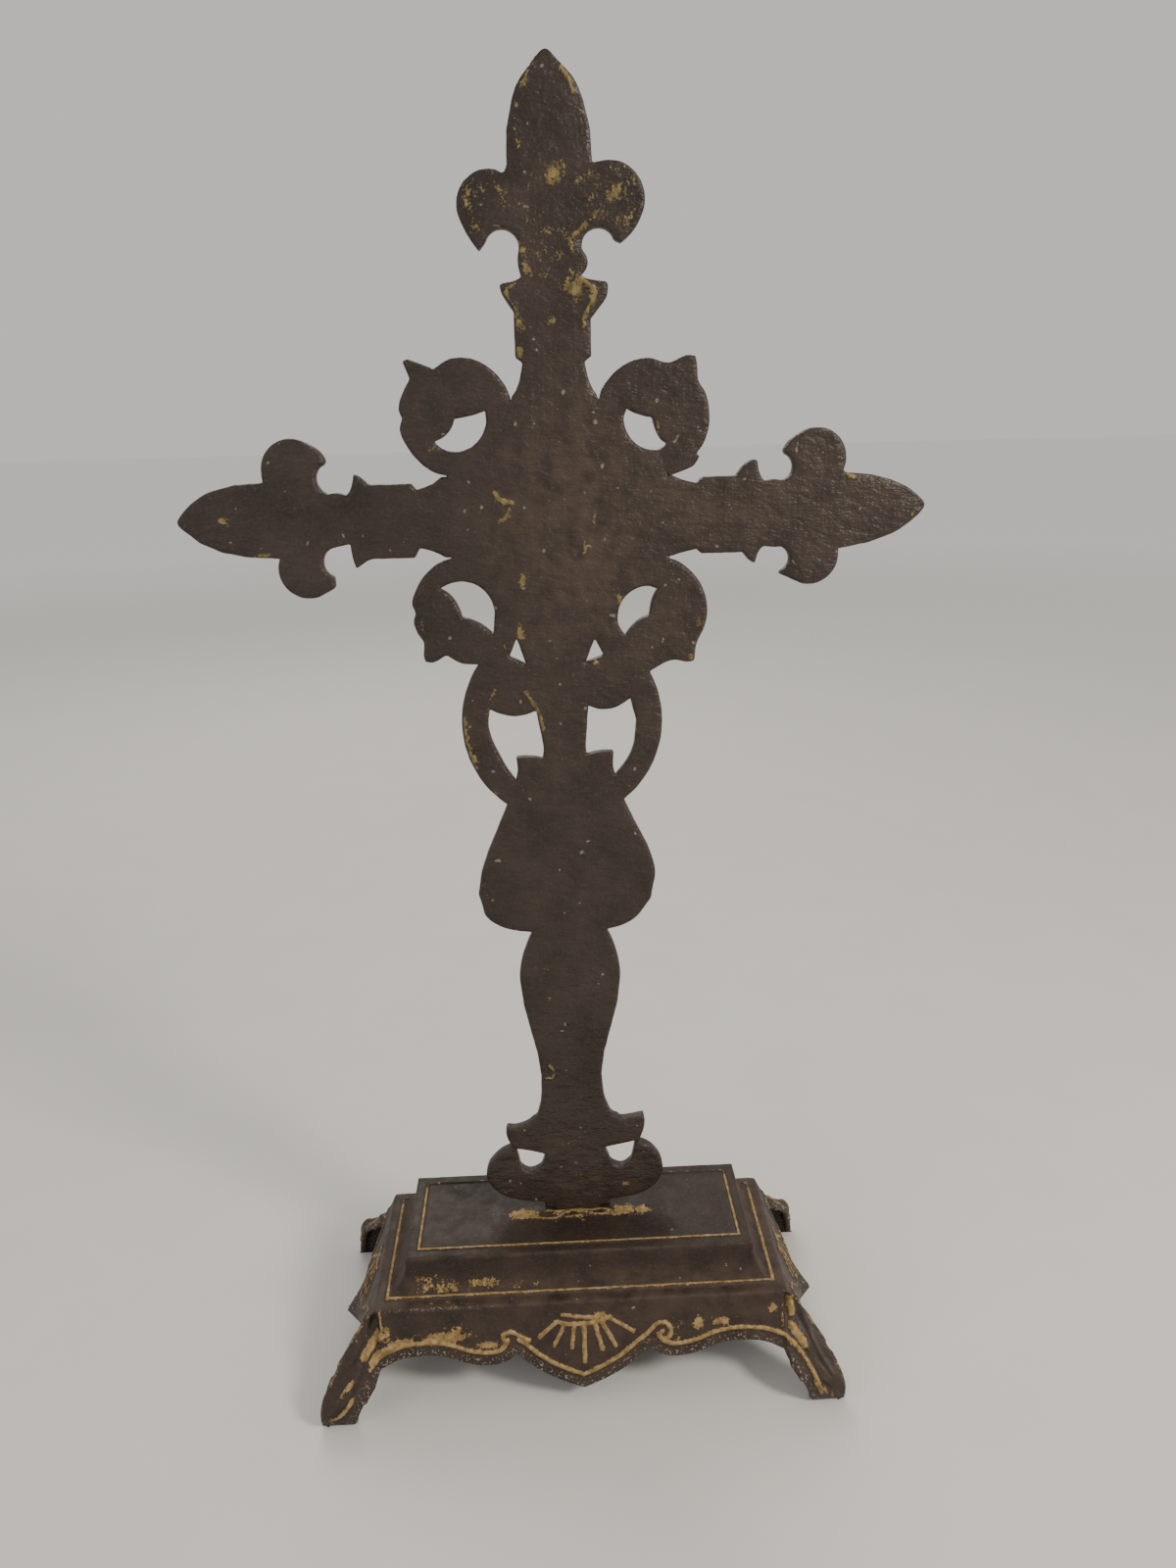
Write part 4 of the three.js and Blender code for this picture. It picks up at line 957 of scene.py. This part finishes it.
def moulding_rows():
    """Half width, half depth, height, gilding and softness of each ring."""
    width, depth, top = TOP
    foot_width, foot_depth, cove_low = COVE_FOOT
    rows = []

    def row(inset, height, gilt=0, soft=0):
        rows.append((width - inset, depth - inset, height, gilt, soft))

    for inset in np.linspace(depth, TOP_LINE_INSET + TOP_LINE_WIDTH + 1.2, 33):
        row(inset, top, soft=1)
    for step in np.linspace(-1, 1, 7):
        rise = TOP_LINE_RISE * math.sqrt(1 - step * step)
        row(TOP_LINE_INSET + TOP_LINE_WIDTH * (0.5 - step / 2), top + rise, 1 - step * step)
    for inset in (4, 3, 2, TOP_EDGE_ROUND):
        row(inset, top)
    for turn in (30, 60, 90):
        a = math.radians(turn)
        row(TOP_EDGE_ROUND * (1 - math.sin(a)), top - TOP_EDGE_ROUND * (1 - math.cos(a)))
    start = top - COVE_TOP_DROP
    across, deep = (
        quad_points((near, start), (near + 1.2, cove_low + 4), (foot - BEAD_WIDTH, cove_low), 18)
        for near, foot in ((width, foot_width), (depth, foot_depth))
    )
    row(0, start)
    rows += [(w, d, z, 0, 1) for (w, z), (d, _) in zip(across, deep)]
    bead_low = cove_low - BEAD_SUNK
    for step in np.linspace(-0.7, 1, 7):
        rise = BEAD_ROUND * math.sqrt(1 - step * step)
        out = BEAD_WIDTH * (0.5 - step / 2) + 0.1
        rows.append((foot_width - out, foot_depth - out, bead_low + rise, 1 - step * step, 0))
    for share in (0.25, 0.5, 0.75, 1):
        w = foot_width + (LEDGE[0] - foot_width) * share
        d = foot_depth + (LEDGE[1] - foot_depth) * share
        rows.append((w, d, bead_low + (LEDGE[2] - cove_low + BEAD_SUNK) * share, 0, 1))
    return rows


def ring_points(width, depth, height):
    across = np.linspace(-width, width, SIDE_COUNT["front"] + 1)[:-1]
    deep = np.linspace(-depth, depth, SIDE_COUNT["end"] + 1)[:-1]
    front = np.column_stack([across, np.full(len(across), -depth)])
    right = np.column_stack([np.full(len(deep), width), deep])
    ring = np.vstack([front, right, -front, -right])
    return np.column_stack([ring, np.full(len(ring), height)])


def ring_faces(count, rows):
    faces = []
    for a in range(0, (rows - 1) * count, count):
        b = a + count
        faces += [[a + i, b + i, b + (i + 1) % count, a + (i + 1) % count] for i in range(count)]
    return faces


def mouldings():
    rows = moulding_rows()
    points = np.vstack([ring_points(w, d, z) for w, d, z, _, _ in rows])
    count = len(points) // len(rows)
    gilt = np.repeat([row[3] for row in rows], count) * moulding_wear(points)
    soft = np.repeat([row[4] for row in rows], count)
    seat, seat_gilt = seat_relief(points)
    on_cove = (points[:, 1] < -29.5) & (points[:, 2] < 63)
    gilt = np.maximum.reduce([gilt, seat_gilt, fleck_values(points[:, [0, 2]], COVE_GILT) * on_cove])
    return points, ring_faces(count, len(rows)), seat, gilt, moulding_film_and_light(points), soft


def moulding_wear(points):
    """The thin gilded lines are wide on the left of the top, and nearly gone along its back."""
    y, z = points[:, 1], points[:, 2]
    on_top = z > 60
    wear = np.where(on_top, 0.9, 0.98)
    wear = np.where(on_top & (y > 20), 0.3, wear)
    return np.where(~on_top & (y > 30), 0.35, wear)


def moulding_film_and_light(points):
    """Pale film on the bevels of the ends; painted light on the lower cove, made paler than its upper part;
    painted highlights along the ledge's brink and the top's rounded edge.
    """
    x, z = points[:, 0], points[:, 2]
    # Painted light: the lower cove, which turns up towards the light, is made paler than its upper part
    low = smoothstep(62, 52, z) * (z < 64) * 0.7
    ends = (np.abs(x) > 81.6) * (z < 66) * 0.55
    # Painted highlights: pale bands along the ledge's brink and along the rounded edge of the top
    brink = smoothstep(LEDGE[2] + 0.5, LEDGE[2] + 0.1, z) * 0.9
    edge = ((z > 65.6) & (z < 66.9)) * 0.5
    return np.maximum.reduce([low, ends, brink, edge, np.full(len(z), 0.08)])


def seat_relief(points):
    """Seat under the cross on the base's top: a low lens with crossing strands of old filler."""
    x, y, z = points.T
    on_top = (z > TOP[2] - 0.01) & (np.abs(y) < 20) & (np.abs(x) < 60)
    spots = np.column_stack([x, y])[on_top]
    half = SEAT["depth"] * np.maximum(1 - (spots[:, 0] / SEAT["half"]) ** 2, 0)
    lens = SEAT["height"] * smoothstep(0, 1, half - np.abs(spots[:, 1]))
    strands, strand_gilt = ridges(spots, SEAT_STRANDS)
    lumps = fleck_values(spots, SEAT_GILT)
    height = np.zeros(len(points))
    gilt = np.zeros(len(points))
    height[on_top] = lens + strands * 0.8 + 0.25 * lumps
    gilt[on_top] = np.maximum(strand_gilt, lumps)
    return height, gilt


# The whole base


def welded(chunks):
    """Joins chunks of points, faces and values where their points meet."""
    points = np.vstack([c[0] for c in chunks])
    keys, first, spot = np.unique(np.round(points, 2), axis=0, return_index=True, return_inverse=True)
    spot = spot.ravel()
    faces = []
    start = 0
    for chunk in chunks:
        for face in chunk[1]:
            ids = [spot[start + i] for i in face]
            kept = [a for a, b in zip(ids, ids[1:] + ids[:1]) if a != b]
            if len(set(kept)) > 2:
                faces.append(kept)
        start += len(chunk[0])
    values = []
    for column in range(2, len(chunks[0])):
        total = np.full(len(keys), -9.0)
        np.maximum.at(total, spot, np.concatenate([c[column] for c in chunks]))
        values.append(total)
    starts = np.cumsum([0] + [len(c[0]) for c in chunks])
    maps = [spot[a:b] for a, b in zip(starts, starts[1:])]
    return points[first], faces, values, maps


def edge_pairs(faces):
    pairs = np.array([pair for f in faces for pair in zip(f, f[1:] + f[:1])])
    return np.unique(np.sort(pairs, axis=1), axis=0)


def summed(spots, values, count):
    """Sums of 3-D values over the points that they belong to."""
    return np.column_stack([np.bincount(spots, weights=values[:, i], minlength=count) for i in range(3)])


def softened(points, faces, soft, rounds):
    """Moves points towards the middle of their neighbours, where they are soft."""
    a, b = edge_pairs(faces).T
    ends = np.concatenate([a, b])
    others = np.concatenate([b, a])
    count = np.bincount(ends, minlength=len(points))[:, None]
    for _ in range(rounds):
        total = summed(ends, points[others], len(points))
        points = points + 0.5 * soft[:, None] * (total / np.maximum(count, 1) - points)
    return points


def normals_of(points, faces):
    triangles = np.array([(f[0], f[i], f[i + 1]) for f in faces for i in range(1, len(f) - 1)])
    a, b, c = (points[triangles[:, i]] for i in range(3))
    flat = np.cross(b - a, c - a)
    total = sum(summed(triangles[:, k], flat, len(points)) for k in range(3))
    return total / np.maximum(np.linalg.norm(total, axis=1), TINY)[:, None]


def outer_shell():
    """Outer skin of the base with its relief, its gilding, its crust and the points of its rims."""
    panels = [panel(kind, turned) for kind in ("front", "end") for turned in (False, True)]
    top, top_faces, top_height, top_gilt, top_film_and_light, top_soft = mouldings()
    none = np.zeros(len(top))
    chunks = [(top, top_faces, top_height, top_gilt, none, top_film_and_light, top_soft)]
    for part in panels:
        height, gilt, crust, film_and_light = side_relief(part)
        soft = np.ones(len(height))
        soft[part["rim"]] = 0
        chunks.append((part["space"], part["faces"], height, gilt, crust, film_and_light, soft))
    points, faces, (height, gilt, crust, film_and_light, soft), maps = welded(chunks)
    points = softened(points, faces, soft, 2)
    normals = normals_of(points, faces)
    distance = np.full(len(points), 99.0)
    for part, spots in zip(panels, maps[1:]):
        np.minimum.at(distance, spots, part["distance"])
    skin = 0.10 * waves(points, 7.0, 6) + 0.05 * waves(points, 2.8, 7)
    fall = edge_fall(distance)
    points = points + normals * (height + skin * (distance > 0.1) - fall)[:, None]
    rims = [(part, spots[part["rim"]]) for part, spots in zip(panels, maps[1:])]
    return points, faces, (gilt, crust, film_and_light), rims


def ceiling():
    """Inner skin above the skirt, under the ledge, the cove and the top."""
    inner = [
        (TOP[0] - TOP[1], 0.0, TOP[2] - WALL),
        (TOP[0] - WALL, TOP[1] - WALL, TOP[2] - WALL),
        (COVE_FOOT[0] - 2 * WALL, COVE_FOOT[1] - 2 * WALL, COVE_FOOT[2]),
        (LEDGE[0] - WALL, LEDGE[1] - WALL, LEDGE[2] - WALL),
    ]
    points = np.vstack([ring_points(*row) for row in inner])
    count = len(points) // len(inner)
    return points, [f[::-1] for f in ring_faces(count, len(inner))]


def base_piece(material):
    points, faces, (gilt, crust, film_and_light), rims = outer_shell()
    all_points, all_faces = [points], list(faces)
    start = len(points)
    for part, rim in rims:
        inner, inner_faces, inner_rim = inner_panel(part)
        all_points.append(inner)
        all_faces += shifted(inner_faces, start)
        inside = inner_rim + start
        all_faces += [[inside[i], inside[i + 1], rim[i + 1], rim[i]] for i in range(len(rim) - 1)]
        start += len(inner)
    roof, roof_faces = ceiling()
    all_points.append(roof)
    all_faces += shifted(roof_faces, start)
    points = np.vstack(all_points)
    hidden = len(points) - len(gilt)
    values = {
        "gilt": np.concatenate([gilt, np.zeros(hidden)]),
        "crust": np.concatenate([crust, np.full(hidden, 0.3)]),
        "film_and_light": np.concatenate([film_and_light, np.full(hidden, 0.2)]),
    }
    points[:, 2] = np.maximum(points[:, 2], 0)
    points[:, 1] = np.clip(points[:, 1], CAD_BOX[0][1] / MM, CAD_BOX[1][1] / MM)
    piece = mesh_piece("base_casting", points, all_faces, values, material)
    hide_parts("base")


# Materials


class Nodes:
    """The nodes of one material, with short calls that add to them."""

    def __init__(self, name):
        self.material = bpy.data.materials.new(name)
        self.material.use_nodes = True
        self.tree = self.material.node_tree
        self.place = self.add("ShaderNodeTexCoord").outputs["Object"]

    def add(self, kind, **settings):
        node = self.tree.nodes.new(kind)
        for key, value in settings.items():
            if key in node.inputs:
                node.inputs[key].default_value = value
            else:
                setattr(node, key, value)
        return node

    def feed(self, node, inputs):
        """Puts numbers, colours and the outputs of other nodes into a node's named inputs."""
        for key, value in inputs.items():
            if isinstance(value, bpy.types.NodeSocket):
                self.tree.links.new(value, node.inputs[key])
            else:
                node.inputs[key].default_value = (*value, 1.0) if isinstance(value, tuple) else value

    def noise(self, size, detail=2.0, roughness=0.5, place=None):
        """Noise whose lumps have a size in millimetres."""
        node = self.add("ShaderNodeTexNoise", Scale=1 / (size * MM), Detail=detail, Roughness=roughness)
        self.feed(node, {"Vector": self.place if place is None else place})
        return node.outputs["Fac"]

    def maths(self, operation, a, b):
        node = self.add("ShaderNodeMath", operation=operation)
        self.feed(node, {0: a, 1: b})
        return node.outputs[0]

    def remap(self, value, low, high, new_low=0.0, new_high=1.0):
        node = self.add("ShaderNodeMapRange")
        ends = {"From Min": low, "From Max": high, "To Min": new_low, "To Max": new_high}
        self.feed(node, {"Value": value, **ends})
        return node.outputs["Result"]

    def mixed(self, share, a, b):
        node = self.add("ShaderNodeMix", data_type="RGBA")
        self.feed(node, {"Factor": share, 6: a, 7: b})
        return node.outputs[2]

    def attribute(self, name):
        return self.add("ShaderNodeAttribute", attribute_name=name).outputs["Fac"]

    def stretched(self, scale, turn=0.0):
        """The material's place, turned about Y in degrees and stretched."""
        node = self.add("ShaderNodeMapping", Scale=scale, Rotation=(0, math.radians(turn), 0))
        self.feed(node, {"Vector": self.place})
        return node.outputs["Vector"]

    def bumped(self, height, strength, distance, normal=None):
        """A normal raised by a height, on top of another normal; the distance is in millimetres."""
        node = self.add("ShaderNodeBump", Distance=distance * MM)
        self.feed(node, {"Height": height, "Strength": strength})
        if normal is not None:
            self.feed(node, {"Normal": normal})
        return node.outputs["Normal"]

    def finished(self, inputs):
        self.feed(self.tree.nodes["Principled BSDF"], inputs)
        return self.material


IRON_DARK = (0.018, 0.0115, 0.0085)
IRON_LIGHT = (0.036, 0.024, 0.018)
# Pale brown film; the same colour also serves as painted highlights and painted light
IRON_FILM_AND_LIGHT = (0.068, 0.045, 0.031)
CROSS_GOLD = ((0.10, 0.072, 0.024), (0.24, 0.175, 0.066))
BASE_GOLD = ((0.20, 0.125, 0.045), (0.37, 0.255, 0.115))
CRUMB = (0.38, 0.34, 0.27)
FLOOR_TONES = ((0.60, 0.585, 0.56), (0.64, 0.625, 0.60))
FLOOR_FAR = (0.93, 0.92, 0.90)
# Lumps of the materials: size in millimetres, then detail and roughness of the noise
PATCHES = (22, 3)
FILM = (7, 4)
FINE = (1.3, 3)
GOLD_TONES = (2.4, 2)
GOLD_COARSE = (4.2, 2)
GOLD_FINE = (1.1, 3, 0.6)
CRUMBS = (1.0, 1)
STRAY_CRUMBS = (2.4, 0)
SHEEN = (6, 3)
SCRATCHES = (1.5, 2)
CAST_SKIN = (3, 0.6)
FLOOR_LUMPS = (60, 2)
# The skin is drawn out across, and the scratches run up it at a slant
SKIN_STRETCH = (0.5, 1, 1)
SCRATCH_STRETCH = (1, 1, 0.05)
SCRATCH_TURN = -22
# Depth of the bumps in millimetres, and the share of the skin's that shows through the gilding
SKIN_DEPTH = 1.4
SCRATCH_DEPTH = 0.4
GOLD_DEPTH = 0.3
GOLD_STRENGTH = 0.6
SKIN_IN_GOLD = 0.35
# Share of the gilding's wear that comes from its coarse lumps
COARSE_SHARE = 0.45
GOLD_METALLIC = 0.3
GOLD_DULLER = 0.08
CRUMB_SHARE = 0.55


def gold_left(nodes):
    """Where the gilding is left: whole where it is strong, in specks where it is thin, else none."""
    coarse = nodes.maths("MULTIPLY", nodes.noise(*GOLD_COARSE), COARSE_SHARE)
    fine = nodes.maths("MULTIPLY", nodes.noise(*GOLD_FINE), 1 - COARSE_SHARE)
    wear = nodes.remap(nodes.maths("ADD", coarse, fine), 0.36, 0.64)
    gilt = nodes.attribute("gilt")
    reach = nodes.maths("SUBTRACT", 1.08, nodes.maths("MULTIPLY", gilt, 0.75))
    left = nodes.maths("SUBTRACT", gilt, nodes.maths("MULTIPLY", wear, reach))
    return nodes.remap(left, 0.02, 0.16)


def painted_iron(nodes):
    """Patchy black paint under a pale film, which is thick where the mesh's film and light value is high;
    there the same pale colour also gives painted highlights and painted light.
    """
    iron = nodes.mixed(nodes.remap(nodes.noise(*PATCHES), 0.35, 0.68), IRON_DARK, IRON_LIGHT)
    # The pale colour laid here is real film in some places, and painted highlights and painted light in
    # others
    film = nodes.maths("MULTIPLY", nodes.attribute("film_and_light"), nodes.remap(nodes.noise(*FILM), 0.3, 0.62))
    iron = nodes.mixed(film, iron, IRON_FILM_AND_LIGHT)
    return nodes.mixed(nodes.remap(nodes.noise(*FINE), 0.48, 0.75, 0.0, 0.4), iron, IRON_FILM_AND_LIGHT)


def pale_crumbs(nodes):
    """Pale crumbs, dense where the mesh says crust, with a few stray ones elsewhere."""
    crumbs = nodes.remap(nodes.noise(*CRUMBS), 0.60, 0.66)
    pale = nodes.maths("MULTIPLY", crumbs, nodes.attribute("crust"))
    stray = nodes.remap(nodes.noise(*STRAY_CRUMBS), 0.84, 0.87, 0.0, 0.35)
    return nodes.maths("MAXIMUM", nodes.maths("MULTIPLY", pale, CRUMB_SHARE), stray)


def cast_normal(nodes, gold_share, skin_size, skin_strength, scratch_strength):
    """Rippled casting skin, slanting scratches, and gilding that stands up a little."""
    skin = nodes.noise(skin_size, *CAST_SKIN, nodes.stretched(SKIN_STRETCH))
    strength = nodes.remap(gold_share, 0, 1, skin_strength, SKIN_IN_GOLD * skin_strength)
    normal = nodes.bumped(skin, strength, SKIN_DEPTH)
    scratch = nodes.noise(*SCRATCHES, place=nodes.stretched(SCRATCH_STRETCH, SCRATCH_TURN))
    normal = nodes.bumped(scratch, scratch_strength, SCRATCH_DEPTH, normal)
    return nodes.bumped(gold_share, GOLD_STRENGTH, GOLD_DEPTH, normal)


def iron_material(name, gold_colours, skin, scratch_strength, roughness, specular):
    """Black iron paint over a cast skin, with worn gilding where the mesh says gilt."""
    nodes = Nodes(name)
    gold_share = gold_left(nodes)
    gold = nodes.mixed(nodes.remap(nodes.noise(*GOLD_TONES), 0.36, 0.66), *gold_colours)
    colour = nodes.mixed(gold_share, painted_iron(nodes), gold)
    dull = nodes.remap(nodes.noise(*SHEEN), 0.3, 0.7, roughness - 0.08, roughness + 0.10)
    return nodes.finished({
        "Base Color": nodes.mixed(pale_crumbs(nodes), colour, CRUMB),
        "Metallic": nodes.maths("MULTIPLY", gold_share, GOLD_METALLIC),
        "Specular IOR Level": specular,
        "Roughness": nodes.maths("ADD", dull, nodes.maths("MULTIPLY", gold_share, GOLD_DULLER)),
        "Normal": cast_normal(nodes, gold_share, *skin, scratch_strength),
    })


def floor_material():
    nodes = Nodes("pale_floor")
    tone = nodes.mixed(nodes.noise(*FLOOR_LUMPS), *FLOOR_TONES)
    reach = nodes.add("ShaderNodeVectorMath", operation="LENGTH")
    nodes.feed(reach, {0: nodes.place})
    far = nodes.remap(reach.outputs["Value"], 0.8, 4.0)
    return nodes.finished({"Base Color": nodes.mixed(far, tone, FLOOR_FAR), "Roughness": 0.7})


# Floor, light and camera


FLOOR_REACH = 30.0
LIGHT_AIM = (0, 0, 0.25)
# Lights: name, place in metres, size, power and colour
LIGHTS = [
    ("key", (1.0, -0.75, 1.1), 0.36, 18, (1.0, 0.94, 0.85)),
    ("fill", (-1.1, -0.9, 0.7), 0.9, 4, (0.95, 0.96, 1.0)),
    ("back", (-0.3, 1.3, 1.4), 0.9, 10, (1.0, 0.96, 0.9)),
]
SKY = (0.86, 0.84, 0.80, 1)
SKY_STRENGTH = 0.75


def add_floor():
    mesh = bpy.data.meshes.new("floor")
    corners = [(x * FLOOR_REACH, y * FLOOR_REACH, 0) for x, y in ((-1, -1), (1, -1), (1, 1), (-1, 1))]
    mesh.from_pydata(corners, [], [(0, 1, 2, 3)])
    mesh.materials.append(floor_material())
    floor = linked_object("floor", mesh)


def add_lights():
    world = bpy.data.worlds.new("studio")
    world.use_nodes = True
    background = world.node_tree.nodes["Background"]
    background.inputs["Color"].default_value = SKY
    background.inputs["Strength"].default_value = SKY_STRENGTH
    bpy.context.scene.world = world
    for name, place, size, power, colour in LIGHTS:
        data = bpy.data.lights.new(name, "AREA")
        data.shape = "DISK"
        data.size = size
        data.energy = power
        data.color = colour
        light = linked_object(name, data)
        light.location = place
        aim = Vector(LIGHT_AIM) - Vector(place)
        light.rotation_euler = aim.to_track_quat("-Z", "Y").to_euler()


def add_camera():
    pitch, roll, yaw = (math.radians(v) for v in (CAMERA_PITCH, CAMERA_ROLL, CAMERA_YAW))
    turn = Matrix.Rotation(yaw, 3, "Z")
    forward = Vector((0, math.cos(pitch), -math.sin(pitch)))
    right, up = Vector((1, 0, 0)), Vector((0, math.sin(pitch), math.cos(pitch)))
    level_right = math.cos(roll) * right + math.sin(roll) * up
    level_up = -math.sin(roll) * right + math.cos(roll) * up
    axes = [turn @ level_right, turn @ level_up, -(turn @ forward)]
    data = bpy.data.cameras.new("camera")
    data.sensor_width = SENSOR
    data.sensor_fit = "AUTO"
    data.lens = LENS
    data.clip_start = 0.01
    camera = linked_object("camera", data)
    camera.matrix_world = Matrix.Translation(Vector(CAMERA_AT) * MM) @ Matrix(axes).transposed().to_4x4()
    bpy.context.scene.camera = camera


add_camera()
add_floor()
add_lights()
cross_piece(iron_material("cross_iron", CROSS_GOLD, (2.2, 0.8), 0.35, 0.42, 0.36))
base_piece(iron_material("base_iron", BASE_GOLD, (1.8, 0.3), 0.06, 0.52, 0.26))
